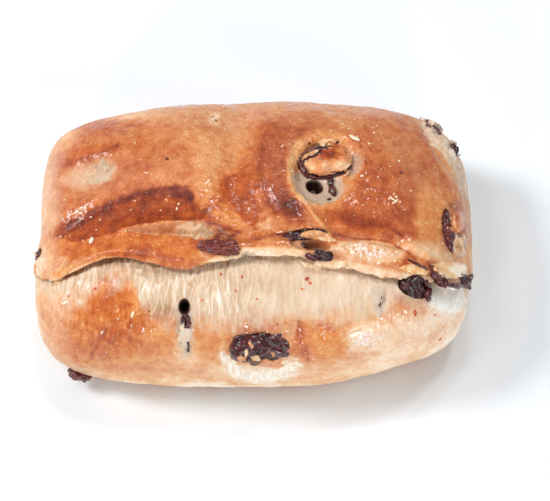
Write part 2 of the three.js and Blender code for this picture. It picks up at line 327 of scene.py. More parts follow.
def spaced(*stretches):
    """Grid lines from stretches of (start, end, step)."""
    lines = [np.linspace(a, b, max(2, round((b - a) / step) + 1))[:-1] for a, b, step in stretches]
    return np.concatenate(lines + [[stretches[-1][1]]])


def surface_net(field, xs, ys, zs):
    """A closed quad mesh of the field's zero surface: one vertex in each grid cell that it crosses."""
    value = field(*np.meshgrid(xs, ys, zs, indexing="ij"))
    inside = value < 0
    nx, ny, nz = value.shape
    count = np.zeros((nx - 1, ny - 1, nz - 1), np.int8)
    corners = [(i, j, k) for i in (0, 1) for j in (0, 1) for k in (0, 1)]
    for i, j, k in corners:
        count += inside[i:nx - 1 + i, j:ny - 1 + j, k:nz - 1 + k]
    crossed = (count > 0) & (count < 8)
    cells = np.argwhere(crossed)
    number = np.full(crossed.shape, -1)
    number[crossed] = np.arange(len(cells))
    lines = (xs, ys, zs)
    total = np.zeros((len(cells), 3))
    crossings = np.zeros(len(cells))
    for axis in range(3):
        for corner in corners:
            if corner[axis]:
                continue
            start = cells + corner
            end = start.copy()
            end[:, axis] += 1
            a, b = value[tuple(start.T)], value[tuple(end.T)]
            cut = (a < 0) != (b < 0)
            t = np.where(cut, a / np.where(cut, a - b, 1), 0)
            point = np.stack([lines[i][start[:, i]] for i in range(3)], 1)
            point[:, axis] += t * (lines[axis][end[:, axis]] - lines[axis][start[:, axis]])
            total[cut] += point[cut]
            crossings[cut] += 1
    quads = []
    for axis in range(3):
        b, c = (axis + 1) % 3, (axis + 2) % 3
        low = [slice(None)] * 3
        high = [slice(None)] * 3
        low[axis], high[axis] = slice(0, -1), slice(1, None)
        first = inside[tuple(low)]
        edges = np.argwhere(first != inside[tuple(high)])
        around = []
        for db, dc in ((-1, -1), (0, -1), (0, 0), (-1, 0)):
            cell = edges.copy()
            cell[:, b] += db
            cell[:, c] += dc
            around.append(number[tuple(cell.T)])
        quad = np.stack(around, 1)
        flip = ~first[tuple(edges.T)]
        quad[flip] = quad[flip][:, ::-1]
        quads.append(quad)
    return total / crossings[:, None], np.concatenate(quads)


def vertex_normals(points, quads):
    """Normals of points from the quads round them."""
    flat = np.cross(points[quads[:, 2]] - points[quads[:, 0]], points[quads[:, 3]] - points[quads[:, 1]])
    normals = np.zeros_like(points)
    for column in range(4):
        np.add.at(normals, quads[:, column], flat)
    return unit(normals)


def photo_pixels(points):
    """Where points in the dough's axes show in the photograph."""
    offset = points - EYE
    away = offset @ -VIEW_BACK
    return (PHOTO_WIDTH / 2 + PIXELS_AT_ONE * offset[:, 0] / away,
            PHOTO_HEIGHT / 2 - PIXELS_AT_ONE * (offset @ VIEW_UP) / away)


def pixel_ray(px, py):
    """The direction of the photograph's line of sight through a pixel."""
    direction = (-VIEW_BACK + np.array([1, 0, 0]) * (px - PHOTO_WIDTH / 2) / PIXELS_AT_ONE
                 - VIEW_UP * (py - PHOTO_HEIGHT / 2) / PIXELS_AT_ONE)
    return direction / np.linalg.norm(direction)


# Tones on the crust, as seen in the photograph: x, y, half width, half height in pixels, turn in degrees,
# then the tone's bake (0 pale dough, 1 nearly black) and how strongly it covers
TONES = (
    (250, 108, 190, 13, 0, 0.35, 0.8), (130, 112, 42, 8, 8, 0.14, 0.8), (48, 195, 11, 60, 0, 0.24, 0.85),
    (62, 140, 12, 16, 40, 0.26, 0.7), (150, 135, 60, 22, -15, 0.44, 0.75), (212, 150, 26, 34, 0, 0.37, 0.8),
    (95, 152, 34, 9, -14, 0.6, 0.85), (99, 172, 17, 11, -20, 0.32, 0.85), (72, 188, 18, 16, 0, 0.46, 0.7),
    (130, 182, 34, 14, -12, 0.5, 0.8), (170, 168, 24, 20, 0, 0.47, 0.75), (188, 188, 24, 12, 0, 0.5, 0.7),
    (214, 118, 6, 6, 0, 0.1, 0.8), (240, 135, 18, 28, 0, 0.35, 0.85), (274, 172, 17, 44, -12, 0.68, 0.92),
    (288, 209, 20, 11, 18, 0.93, 0.95), (237, 187, 17, 14, 0, 0.62, 0.85), (240, 218, 22, 8, 10, 0.46, 0.8),
    (345, 120, 34, 12, 0, 0.36, 0.7), (385, 140, 36, 24, 20, 0.5, 0.8), (418, 165, 28, 34, 25, 0.54, 0.8),
    (372, 190, 34, 22, 20, 0.67, 0.8), (362, 221, 34, 11, 10, 0.86, 0.92),
    (400, 216, 24, 16, 10, 0.68, 0.85), (434, 205, 12, 30, -20, 0.33, 0.85),
    (448, 160, 10, 34, -24, 0.26, 0.7), (462, 190, 6, 26, -10, 0.24, 0.85),
    (430, 122, 16, 9, 30, 0.16, 0.8), (432, 252, 34, 8, 15, 0.12, 0.85), (395, 247, 26, 6, 10, 0.26, 0.85),
    (352, 251, 34, 6, 6, 0.13, 0.85), (330, 238, 12, 5, 10, 0.6, 0.7), (112, 214, 58, 6, -14, 0.76, 0.95),
    (72, 226, 22, 5, -28, 0.86, 0.9), (160, 206, 36, 7, 6, 0.74, 0.95), (198, 212, 14, 5, 15, 0.7, 0.85),
    (120, 243, 62, 9, 2, 0.62, 0.92), (72, 246, 26, 8, -20, 0.5, 0.75), (168, 229, 36, 4, 2, 0.5, 0.9),
    (215, 232, 20, 6, 12, 0.54, 0.8), (200, 246, 24, 6, 6, 0.4, 0.6), (276, 243, 24, 5, 5, 0.46, 0.85),
    (262, 253, 26, 4, 3, 0.08, 0.92), (66, 320, 34, 26, 0, 0.37, 0.8), (116, 322, 36, 32, -10, 0.6, 0.88),
    (95, 345, 44, 16, -8, 0.56, 0.8), (58, 300, 16, 12, 0, 0.25, 0.7), (138, 296, 9, 18, 0, 0.28, 0.7),
    (160, 338, 20, 22, 0, 0.4, 0.7), (110, 366, 60, 10, 6, 0.48, 0.75), (190, 374, 60, 8, -3, 0.3, 0.8),
    (210, 342, 22, 28, 0, 0.37, 0.7), (186, 348, 10, 14, 0, 0.08, 0.7), (255, 372, 44, 8, 0, 0.04, 0.92),
    (305, 342, 10, 24, 0, 0.48, 0.7), (330, 350, 24, 18, -10, 0.36, 0.7),
    (365, 337, 32, 14, -12, 0.07, 0.8), (350, 314, 50, 8, -10, 0.26, 0.7),
    (395, 355, 44, 12, -20, 0.08, 0.88), (415, 325, 34, 18, -10, 0.08, 0.85),
    (446, 303, 18, 24, 10, 0.0, 0.95), (320, 378, 40, 6, -4, 0.24, 0.7), (376, 300, 12, 14, 0, 0.06, 0.6),
    (45, 262, 8, 14, 0, 0.22, 0.7),
)
# Dark juice round the raisins, with painted shade beside the side raisin's top, round the gap raisin and
# along the right edge: the same columns, then strength
JUICE_AND_SHADE = (
    (318, 170, 32, 34, 0, 0.35), (296, 176, 6, 14, 0, 0.8), (322, 180, 24, 12, -6, 0.8),
    (455, 232, 12, 26, 8, 0.55), (447, 208, 8, 4, -20, 0.45), (222, 236, 16, 7, 10, 0.5),
    (300, 241, 22, 8, 12, 0.5), (322, 257, 20, 6, 4, 0.4), (418, 288, 20, 14, 30, 0.4),
    (184, 322, 7, 20, 4, 0.35), (440, 278, 30, 6, 6, 0.55), (205, 209, 5, 4, 0, 0.8),
    (79, 376, 14, 9, 0, 0.35), (381, 301, 2.5, 8, 8, 0.45), (464, 190, 8, 60, -8, 0.3),
)
# Creases and rims: relief and half width in millimetres, then pixels of the photograph along the line
CREASES = (
    (-0.45, 0.5, ((62, 236), (74, 228), (90, 218), (106, 209), (122, 203), (136, 197), (148, 195), (164, 196),
                  (178, 197), (186, 201), (196, 207))),
    (-0.5, 0.8, ((192, 207), (199, 212), (205, 207))),
    (-0.45, 0.8, ((212, 232), (226, 238), (240, 236))),
    (-0.5, 0.9, ((268, 140), (262, 162), (266, 190), (277, 214))),
    (0.4, 0.9, ((302, 198), (314, 216), (331, 236))),
    (-0.4, 0.8, ((340, 232), (366, 234), (394, 236), (420, 247))),
    (0.35, 0.7, ((361, 241), (378, 239), (394, 242))),
    (0.3, 0.7, ((404, 248), (415, 257), (424, 262))),
    (-0.4, 0.9, ((86, 160), (98, 170), (112, 178))),
    (-0.35, 0.8, ((150, 222), (170, 230), (196, 233))),
    (0.35, 0.8, ((131, 220), (160, 222), (192, 228))),
    (-0.35, 0.9, ((91, 358), (99, 342), (109, 328))),
    (-0.3, 0.8, ((104, 360), (113, 344), (121, 332))),
    (0.4, 1.0, ((137, 284), (137, 295), (139, 306))),
    (-0.4, 0.8, ((186, 342), (188, 353))),
    (-0.5, 0.8, ((383, 295), (380, 308))),
    (-0.35, 0.9, ((299, 322), (303, 340), (310, 360))),
    (0.3, 0.8, ((345, 330), (362, 326), (383, 332))),
    (-0.35, 0.9, ((418, 115), (434, 149), (450, 170), (463, 190))),
)
# Warm amber browning, where the egg wash lies thick, the columns of the juice and shade spots
WARM = (
    (120, 243, 66, 14, 2, 1.0), (70, 240, 24, 10, -20, 0.8), (130, 208, 70, 10, -6, 1.0),
    (236, 186, 22, 22, 0, 1.0), (215, 232, 30, 12, 8, 0.9), (362, 222, 40, 14, 10, 1.0),
    (405, 240, 24, 10, 10, 0.6), (300, 243, 40, 8, 5, 0.8), (116, 322, 50, 38, -10, 1.0),
    (95, 345, 50, 20, -8, 0.7), (305, 342, 14, 26, 0, 0.6), (330, 350, 30, 22, -10, 0.4),
    (372, 190, 34, 26, 20, 0.8), (95, 152, 34, 9, -14, 0.9), (330, 318, 70, 10, -6, 0.5),
    (215, 322, 60, 8, 0, 0.6), (110, 290, 60, 16, 0, 1.0), (250, 320, 60, 14, 0, 0.9),
    (430, 250, 30, 12, 10, 0.5), (168, 228, 38, 6, 6, 0.6), (215, 340, 40, 20, 0, 0.7),
    (130, 180, 60, 20, -8, 0.3), (99, 172, 18, 12, 0, 0.0), (287, 212, 22, 12, 15, 0.8),
    (212, 150, 28, 34, 0, 0.5), (60, 330, 14, 40, 0, 0.2), (450, 300, 26, 34, 0, 0.0),
    (365, 345, 60, 14, -16, 0.0), (420, 165, 26, 34, 25, 0.35), (255, 373, 60, 10, 0, 0.0),
    (400, 345, 60, 22, -16, 0.0), (352, 251, 40, 7, 6, 0.1), (262, 253, 30, 5, 3, 0.0),
    (48, 195, 12, 60, 0, 0.1), (58, 322, 12, 26, 0, 0.15), (250, 108, 190, 12, 0, 0.25),
    (150, 370, 90, 8, 0, 0.3), (420, 320, 40, 20, -10, 0.0),
)
# Narrow lines of tone: bake, cover, half width in pixels, then pixels along the line. The dark line below the
# ridge is partly browning and partly painted shade under the overhanging lobe; the pale line on the crest
# above the right seam is a painted highlight.
STROKES = (
    # partly painted shade under the ridge's overhang
    (0.92, 0.9, 1.1, ((74, 226), (90, 216), (106, 207), (122, 201), (138, 194), (155, 192), (172, 192),
                      (186, 198))),
    (0.12, 0.8, 0.9, ((132, 227), (150, 224), (170, 221.5), (190, 220.5), (203, 219))),
    (0.88, 0.9, 1.5, ((184, 203), (192, 207), (199, 212), (204, 209))),
    (0.8, 0.9, 2.4, ((203, 222), (216, 224), (228, 228), (240, 231))),
    (0.86, 0.85, 2.6, ((216, 240), (222, 230))),
    (0.84, 0.85, 2.4, ((226, 240), (236, 233))),
    (0.75, 0.7, 1.4, ((250, 238), (264, 236), (278, 234))),
    (0.9, 0.9, 1.8, ((278, 234), (290, 232), (300, 231), (312, 229))),
    (0.72, 0.85, 2.2, ((312, 229), (322, 236), (334, 240))),
    (0.8, 0.85, 1.3, ((336, 233), (352, 237), (370, 238.5), (392, 243), (404, 250), (414, 260))),
    # a painted highlight along the crest above the right seam
    (0.2, 0.85, 1.1, ((361, 242), (378, 241), (394, 245))),
    (0.28, 0.8, 2.2, ((303, 200), (314, 216), (324, 228), (331, 236))),
    (0.74, 0.8, 3.4, ((70, 164), (88, 158), (104, 153), (120, 146))),
    (0.8, 0.7, 0.8, ((102, 164), (107, 168), (110, 174), (106, 178))),
    (0.7, 0.6, 0.7, ((92, 176), (99, 179), (104, 177))),
    (0.66, 0.6, 1.5, ((220, 181), (231, 175), (241, 168))),
    (0.62, 0.7, 1.5, ((137, 287), (139, 304), (150, 311), (166, 315))),
    (0.74, 0.8, 2.0, ((299, 324), (301, 342), (308, 360))),
    (0.7, 0.6, 2.0, ((91, 358), (99, 342), (109, 328))),
    (0.8, 0.8, 1.6, ((340, 214), (362, 222), (388, 226), (404, 236))),
    (0.12, 0.8, 1.6, ((232, 258), (258, 256), (292, 258))),
    (0.72, 0.6, 2.2, ((262, 138), (260, 160), (266, 190), (276, 212))),
)
# Wet shine, the columns of the juice and shade spots
SHINE = (
    (78, 214, 25, 8, -26, 1.0), (250, 206, 11, 10, 30, 0.8), (300, 214, 8, 5, 10, 0.5),
    (362, 340, 40, 14, -12, 1.0), (320, 322, 30, 12, 0, 0.8), (370, 249, 40, 8, 6, 1.0),
    (440, 262, 24, 10, 20, 0.9), (66, 303, 12, 7, 0, 0.9), (120, 243, 60, 8, 0, 0.4),
    (460, 222, 10, 14, 0, 1.0), (290, 243, 40, 6, 0, 0.7), (400, 330, 50, 20, -16, 0.6),
    (100, 330, 60, 30, 0, 0.45), (330, 172, 26, 6, -8, 0.9), (230, 330, 50, 20, 0, 0.5),
)
# Painted shade in the crumb's hollows and under the lip, the columns of the juice and shade spots; a negative
# cover paints light instead
PAINTED_SHADE_SPOTS = (
    (163, 228, 9, 2.5, -4, 0.4), (114, 262, 30, 8, 4, 0.3), (274, 282, 22, 14, 0, 0.12),
    (60, 276, 14, 6, -20, 0.4), (160, 310, 18, 12, 0, 0.35), (104, 170, 6, 3, -30, 0.25),
    (318, 192, 30, 14, 0, 0.25), (250, 257, 9, 6, 0, 0.6), (150, 270, 14, 12, 0, 0.25),
    (345, 150, 10, 20, 0, 0.2), (225, 282, 60, 14, 0, 0.08), (186, 346, 10, 14, 0, 0.2),
    (448, 300, 20, 18, 0, -0.45), (330, 290, 60, 16, 0, -0.06),
)
# Broad swells and furrows, as the creases
SWELLS = (
    (-0.9, 4.2, ((243, 112), (238, 150), (236, 190), (240, 222))),
    (0.8, 4.0, ((276, 132), (282, 178), (292, 210))),
    (0.6, 4.5, ((120, 182), (160, 172), (195, 182))),
    (-0.8, 2.6, ((90, 174), (106, 168))),
    (0.5, 2.6, ((72, 160), (100, 150), (122, 145))),
    (0.35, 2.6, ((60, 226), (76, 214), (94, 204), (106, 200))),
    (-0.7, 2.4, ((80, 228), (100, 220), (130, 211), (165, 206), (195, 212))),
    (0.7, 0.9, ((120, 229), (140, 226), (165, 223), (190, 222), (202, 225))),
    (-0.8, 0.9, ((135, 232), (155, 231), (180, 231), (208, 233))),
    (-0.6, 0.8, ((336, 236), (366, 239), (392, 245), (420, 256))),
    (0.5, 1.0, ((340, 230), (366, 232), (394, 238), (418, 248))),
    (-0.5, 0.7, ((250, 238), (280, 235), (312, 230), (334, 240))),
    (0.45, 0.9, ((252, 231), (280, 228), (308, 224))),
    (0.5, 5.0, ((370, 150), (410, 172), (438, 200))),
    (-0.6, 2.2, ((335, 234), (370, 233), (402, 240))),
    (0.6, 2.4, ((342, 247), (380, 249), (424, 253))),
    (0.4, 5.0, ((80, 325), (125, 325))),
    (-0.5, 3.0, ((140, 300), (150, 330), (150, 350))),
    (0.5, 6.0, ((330, 350), (362, 340))),
    (-0.4, 3.0, ((300, 330), (304, 372))),
)
# Blistered skin that catches the light in many small glints, the columns of the juice and shade spots with
# the height last
BLISTERS = (
    (78, 214, 22, 6, -26, 0.16), (250, 204, 8, 7, 30, 0.06), (370, 252, 36, 9, 6, 0.15),
    (366, 338, 22, 11, -10, 0.1), (322, 320, 16, 6, 0, 0.05), (452, 270, 14, 6, 10, 0.1),
    (450, 220, 14, 12, 0, 0.06), (300, 244, 30, 6, 4, 0.08), (66, 303, 8, 4, 0, 0.05),
    (46, 262, 7, 9, 0, 0.06),
)
# Painted highlights: white glints painted into the egg wash's colour, the columns of the juice and shade
# spots
PAINTED_GLINTS = (
    (78, 213, 22, 6, -27, 0.74), (248, 205, 9, 7, 30, 0.6), (258, 215, 4, 7, 0, 0.5),
    (366, 251, 31, 8, 6, 0.8), (366, 338, 20, 10, -10, 0.85), (324, 330, 14, 8, 0, 0.45),
    (458, 268, 11, 6, 0, 0.6), (44, 262, 5, 8, 0, 0.6), (64, 304, 8, 3, -20, 0.6),
    (300, 246, 22, 3, 5, 0.45), (406, 247, 14, 6, 20, 0.5), (395, 318, 14, 4, -20, 0.5),
    (420, 336, 20, 8, -20, 0.3), (140, 180, 60, 20, 0, 0.12), (390, 190, 40, 30, 0, 0.2),
    (100, 240, 40, 8, 0, 0.25),
)
# The rim of the crater in the crown: its middle, reach and width in pixels, then its height in millimetres
CRATER, CRATER_EDGE, CRATER_RIM_WIDTH, CRATER_RIM = (323, 170), 37.0, 6.0, 0.45
# The foot of the crumb in the photograph: x, y in pixels
CRUMB_FOOT = (
    (20, 286), (45, 290), (62, 297), (82, 297), (98, 283), (128, 281), (137, 290), (142, 309), (165, 317),
    (200, 321), (260, 325), (300, 321), (330, 315), (380, 309), (398, 301), (430, 300), (470, 306),
    (560, 306),
)
# Width in millimetres of the pale edge of the lip, along the roll
PALE_LIP = (
    (-56, 0.5), (-40, 0.3), (-25, 0.1), (-14, 0.15), (-6, 0.8), (8, 1.1), (16, 1.0), (30, 1.4), (56, 1.0),
)
# Patches with a crisp edge: their outline and edge in pixels, relief in millimetres, then their tones
PATCHES = (
    # the dent on the left, smooth towards the left and torn at its right
    dict(outline=((62, 181), (72, 172), (82, 166), (94, 162), (106, 160), (113, 165), (112, 172),
                  (107, 178), (98, 183), (86, 186), (74, 187)), edge=7.0, height=-0.45, bake=0.3, warm=0.1,
         crumb=0.2, shade=0.36, ash=0.2, glaze=0.1),
    dict(outline=((90, 173), (94, 165), (104, 160), (113, 165), (112, 172), (107, 178), (98, 182),
                  (88, 181)), edge=1.3, ragged=2.6, height=-0.5, rough=0.9, bake=0.2, warm=0.0, crumb=0.65,
         shade=0.32, ash=0.4, glaze=0.1),
    # dull skin above the ridge, the dark ridge, partly browning and partly painted shade under the
    # overhanging lobe, then the amber hollow below it
    dict(outline=((84, 202), (104, 190), (128, 178), (160, 172), (196, 170), (204, 182), (192, 186),
                  (160, 184), (134, 188), (108, 199), (90, 208)), edge=4.0, glaze=0.08),
    dict(outline=((58, 235), (64, 229), (76, 220), (90, 211), (106, 203), (122, 196), (138, 190),
                  (156, 188), (172, 188), (184, 191), (192, 199), (196, 206), (192, 206), (186, 202),
                  (178, 198), (164, 197), (148, 196), (136, 198), (122, 204), (106, 210), (90, 219),
                  (74, 229), (62, 236)), edge=3.2, ragged=0.8, height=0.1, bake=0.82, warm=0.35, glaze=0.4),
    dict(outline=((168, 188), (176, 184), (186, 186), (193, 192), (195, 199), (188, 201), (180, 197),
                  (170, 195)), edge=2.2, ragged=1.6, bake=0.84, warm=0.4, glaze=0.4),
    dict(outline=((62, 236), (74, 228), (90, 218), (106, 209), (122, 203), (136, 197), (148, 195),
                  (164, 196), (178, 197), (186, 201), (194, 206), (205, 212), (203, 219), (186, 221),
                  (168, 222), (152, 224), (138, 226), (126, 229), (108, 234), (90, 238), (72, 243)),
         edge=1.8, ragged=0.8, height=-0.3, bake=0.74, warm=1.0, glaze=0.05, stain=0.0),
    dict(outline=((60, 250), (70, 244), (90, 239), (108, 235), (126, 230), (142, 231), (160, 233),
                  (180, 234), (200, 236), (204, 244), (196, 258), (180, 263), (160, 259), (135, 256),
                  (110, 255), (88, 256), (70, 262)), edge=3.5, ragged=2.0, bake=0.57, warm=1.0, glaze=0.35),
    dict(outline=((124, 247), (142, 247), (160, 250), (174, 254), (184, 259), (178, 263), (160, 260),
                  (140, 257), (126, 255)), edge=2.5, ragged=2.5, bake=0.68, warm=0.75, glaze=0.5),
    # the torn strip between the ridge and the lip
    dict(outline=((128, 230), (142, 227), (156, 225), (170, 223), (186, 221), (203, 220), (212, 225),
                  (217, 232), (210, 238), (198, 237), (184, 236), (168, 234), (154, 233), (140, 232)),
         edge=1.0, ragged=1.6, height=-0.6, rough=0.5, bake=0.5, warm=0.8, crumb=0.3, shade=0.34,
         glaze=0.3),
    dict(outline=((172, 226), (186, 223), (200, 222), (210, 227), (214, 233), (206, 237), (194, 236),
                  (182, 233)), edge=2.4, ragged=2.2, rough=0.5, crumb=0.7, shade=0.42, bake=0.3),
    # the pale valley in the crown, the amber beside it and the dark fold to its right
    dict(outline=((190, 134), (204, 130), (216, 134), (222, 150), (220, 170), (216, 190), (206, 198),
                  (198, 184), (194, 160)), edge=8.0, ragged=3.0, bake=0.38, warm=0.6),
    dict(outline=((222, 178), (232, 172), (246, 170), (256, 178), (258, 196), (262, 214), (256, 226),
                  (242, 222), (232, 212), (224, 200), (216, 190)), edge=6.0, ragged=5.0, height=-0.1,
         bake=0.71, warm=1.0, glaze=0.32),
    dict(outline=((418, 196), (432, 190), (444, 200), (446, 225), (440, 240), (424, 240), (414, 225)),
         edge=6.0, bake=0.42, warm=0.7, glaze=0.12),
    dict(outline=((304, 208), (330, 203), (360, 206), (382, 214), (386, 226), (350, 229), (320, 224)),
         edge=6.0, glaze=0.12),
    dict(outline=((222, 206), (232, 208), (240, 216), (246, 224), (236, 226), (222, 218), (214, 210)),
         edge=3.0, ragged=3.0, height=-0.1, bake=0.42, warm=0.9, glaze=0.5),
    # the crater: its pale rim, its greyed bowl and the shadow beside the raisin
    dict(outline=((287, 172), (289, 158), (295, 146), (306, 137), (322, 132), (339, 134), (352, 142),
                  (359, 156), (360, 170), (355, 186), (346, 198), (335, 206), (322, 209), (307, 206),
                  (295, 198), (288, 186)), edge=6.0, ragged=1.5, height=-0.35, bake=0.37, warm=0.7,
         stain=0.0),
    dict(outline=((286, 174), (288, 158), (294, 147), (300, 141), (303, 146), (298, 158), (297, 172),
                  (300, 186), (307, 197), (314, 204), (306, 205), (296, 198), (289, 187)), edge=3.5,
         ragged=0.8, bake=0.24, warm=0.8),
    dict(outline=((294, 172), (296, 160), (301, 151), (310, 143), (322, 139), (337, 139), (350, 144),
                  (360, 153), (360, 166), (351, 180), (344, 192), (335, 200), (321, 204), (308, 201),
                  (299, 193), (295, 184)), edge=4.5, ragged=1.2, height=-1.0, rough=0.15, bake=0.44,
         warm=0.5, glaze=0.5),
    dict(outline=((293, 176), (300, 170), (320, 170), (340, 176), (344, 184), (340, 193), (333, 200),
                  (321, 204), (308, 201), (299, 193), (294, 185)), edge=3.5, ragged=1.4, crumb=0.75,
         shade=0.35, ash=0.6),
    dict(outline=((348, 150), (357, 152), (362, 160), (360, 168), (352, 174), (348, 168)), edge=3.0,
         ragged=1.5, crumb=0.3, shade=0.3, ash=0.45, stain=0.15),
    dict(outline=((349, 154), (354, 153), (355, 163), (351, 171), (346, 174), (349, 165)), edge=1.6,
         ragged=1.2, height=-0.2, stain=0.55),
    dict(outline=((295, 178), (296, 164), (301, 154), (306, 152), (302, 164), (303, 178)), edge=1.5,
         ragged=1.5, height=-0.2, stain=0.35),
    # the hollow beside the crack, and the greyed crumb behind the seam raisin
    dict(outline=((290, 238), (297, 235), (309, 236), (316, 239), (317, 245), (311, 249), (300, 249),
                  (292, 244)), edge=1.2, height=-0.8, rough=0.2, bake=0.5, warm=0.5, crumb=0.4, shade=0.15,
         stain=0.2),
    dict(outline=((241, 255), (247, 253), (256, 255), (255, 262), (247, 263), (241, 261)), edge=1.8,
         height=-0.5, crumb=1.0, shade=0.35, ash=0.7),
    # unbrowned dough past the crust's edge at the right shoulder
    dict(outline=((416, 112), (421, 121), (426, 131), (432, 146), (443, 153), (452, 166), (459, 183),
                  (463, 200), (475, 200), (472, 160), (455, 130), (430, 104)), edge=2.2, ragged=2.4,
         height=-0.35, rough=0.45, bake=0.16, warm=0.2, crumb=0.3, shade=0.7, ash=0.0, glaze=0.5),
    # whitish dough in the crumb: over a hidden raisin, round the slit and at the right end
    dict(outline=((371, 300), (373, 290), (379, 286), (386, 289), (387, 300), (385, 311), (378, 315),
                  (372, 310)), edge=2.5, ragged=2.0, height=0.15, rough=0.3, crumb=1.0, shade=0.6, ash=0.7),
    dict(outline=((176, 302), (181, 297), (192, 296), (194, 310), (191, 333), (192, 352), (184, 355),
                  (178, 344), (179, 320)), edge=3.5, ragged=3.0, height=-0.05, rough=0.2, crumb=0.85,
         shade=0.7, ash=0.35),
    dict(outline=((429, 293), (445, 286), (462, 288), (464, 300), (458, 311), (440, 311), (430, 305)),
         edge=2.5, ragged=2.0, height=0.25, rough=0.2, crumb=1.0, shade=1.0),
    # an orange spot on the lip, the glazed lip at the right, and the halo of the front raisin
    dict(outline=((394, 262), (399, 260), (407, 263), (406, 267), (398, 268)), edge=1.2, height=0.1,
         bake=0.62, warm=1.0, glaze=0.9, crumb=0.0),
    dict(outline=((338, 242), (352, 240), (372, 243), (392, 246), (404, 253), (400, 262), (384, 262),
                  (362, 262), (344, 258)), edge=3.0, ragged=2.0, height=0.1, rough=0.12, bake=0.26,
         warm=0.4, glaze=1.0),
    # the orange streak and the glazed, paler skin to the right of it
    dict(outline=((298, 322), (304, 322), (306, 336), (311, 350), (313, 362), (306, 362), (300, 350),
                  (298, 336)), edge=1.8, ragged=1.8, height=-0.25, bake=0.56, warm=1.0, glaze=1.0,
         crumb=0.0),
    dict(outline=((312, 334), (326, 328), (342, 332), (350, 342), (346, 356), (330, 364), (316, 360),
                  (309, 348)), edge=5.0, ragged=4.0, bake=0.42, warm=1.0, glaze=0.7, crumb=0.0),
    dict(outline=((345, 330), (358, 322), (380, 322), (398, 326), (404, 338), (396, 348), (374, 350),
                  (352, 346)), edge=6.0, ragged=4.0, bake=0.16, warm=0.3, glaze=1.0, crumb=0.0),
    dict(outline=((226, 350), (230, 340), (244, 334), (270, 332), (284, 338), (288, 350), (280, 344),
                  (262, 338), (242, 342), (231, 354)), edge=4.0, ragged=2.0, height=-0.1, bake=0.44,
         warm=0.3, crumb=0.2, shade=0.3),
    dict(outline=((221, 352), (229, 355), (236, 364), (250, 369), (276, 368), (290, 358), (301, 366),
                  (294, 377), (270, 384), (240, 381), (224, 368)), edge=5.0, ragged=2.5, bake=0.04,
         warm=0.3, crumb=0.75, shade=0.92),
)

# Noises, each by its height, its cell in millimetres and its seed: bumps in millimetres,
BUMP_CELL, FINE_BUMP_CELL = (0.8, 3.2, 3.2), (0.5, 1.6, 1.6)
SKIN_BUMPS = ((0.34, 12, 1), (0.2, 5.5, 2), (0.11, 2.6, 3), (0.045, 1.3, 4))
TORN_BUMPS = ((1.0, 1.4, 12), (0.5, 0.6, 13))
BLISTER_BUMPS = ((1.0, 1.0, 29), (0.4, 0.6, 30))
CREASED_BUMPS = ((0.16, BUMP_CELL, 27), (0.1, FINE_BUMP_CELL, 28))
# tones, and how tones and edges wander, in pixels
CREASED_TONES = ((0.13, BUMP_CELL, 27), (0.08, FINE_BUMP_CELL, 28))
RAGGED_EDGE = ((2.0, 1.5, 9), (0.8, 0.55, 19))
WANDER_X = ((3.4, 6, 21), (2.4, 2, 22), (1.2, 0.8, 25))
WANDER_Y = ((3.4, 6, 23), (2.4, 2, 24), (1.2, 0.8, 26))
FOOT_WANDER = ((12, 4, 31), (7, (1.2, 2, 2), 32), (4, 0.6, 35))
WOBBLE = (3.2, 8)    # only its cell and seed
CREASED_FRONT = (108, 326, 58, 36, 0)    # the finely creased crust at the front left, as a spot
SOFT_EDGE, CRISP_EDGE = 2.6, 3.0    # how a spot fades out
DIMPLE_DEPTH, RIM_COVER, RIM_BAKE, SOCKET_JUICE_SHADE = 0.22, 0.85, 0.12, 0.6
SHADED_HOLES = ("crater_hole", "slit_hole")


def segment_distance(px, py, line):
    """Distance in pixels to a line through pixels of the photograph."""
    best = np.full(px.shape, 1e9)
    for (ax, ay), (bx, by) in zip(line[:-1], line[1:]):
        dx, dy = bx - ax, by - ay
        t = np.clip(((px - ax) * dx + (py - ay) * dy) / (dx * dx + dy * dy), 0, 1)
        best = np.minimum(best, np.hypot(px - ax - t * dx, py - ay - t * dy))
    return best


def inside_by(px, py, outline):
    """Distance in pixels to a closed outline of the photograph, positive inside."""
    inside = np.zeros(px.shape, bool)
    for (ax, ay), (bx, by) in zip(outline, outline[1:] + outline[:1]):
        if ay != by:
            inside ^= ((ay > py) != (by > py)) & (px < (bx - ax) * (py - ay) / (by - ay) + ax)
    edge = segment_distance(px, py, outline + outline[:1])
    return np.where(inside, edge, -edge)


def patch_share(px, py, ragged, row):
    """How much of one of PATCHES covers each pixel."""
    deep = inside_by(px, py, row["outline"]) + row.get("ragged", 1.0) * ragged
    return smooth_step(-row["edge"], row["edge"], deep)


def facing_photo(normals):
    """1 where the surface faces the photograph's camera, 0 where it turns away."""
    return smooth_step(-0.02, 0.22, normals @ VIEW_BACK)


def spot_weight(px, py, spot, edge=SOFT_EDGE):
    """How strongly an oval spot covers each pixel. A higher edge is crisper."""
    cx, cy, half_width, half_height, turn = spot
    angle = math.radians(turn)
    u = ((px - cx) * math.cos(angle) + (py - cy) * math.sin(angle)) / half_width
    v = (-(px - cx) * math.sin(angle) + (py - cy) * math.cos(angle)) / half_height
    return np.exp(-(u * u + v * v) ** (edge / 2))


def strongest(base, table, px, py, faces, edge=SOFT_EDGE):
    """The base, raised to each spot's last value where that is more."""
    for *spot, cover in table:
        base = np.maximum(base, cover * faces * spot_weight(px, py, spot, edge))
    return base


def towards(values, target, weight):
    """Values moved towards a target by a weight between 0 and 1."""
    return values * (1 - weight) + target * weight


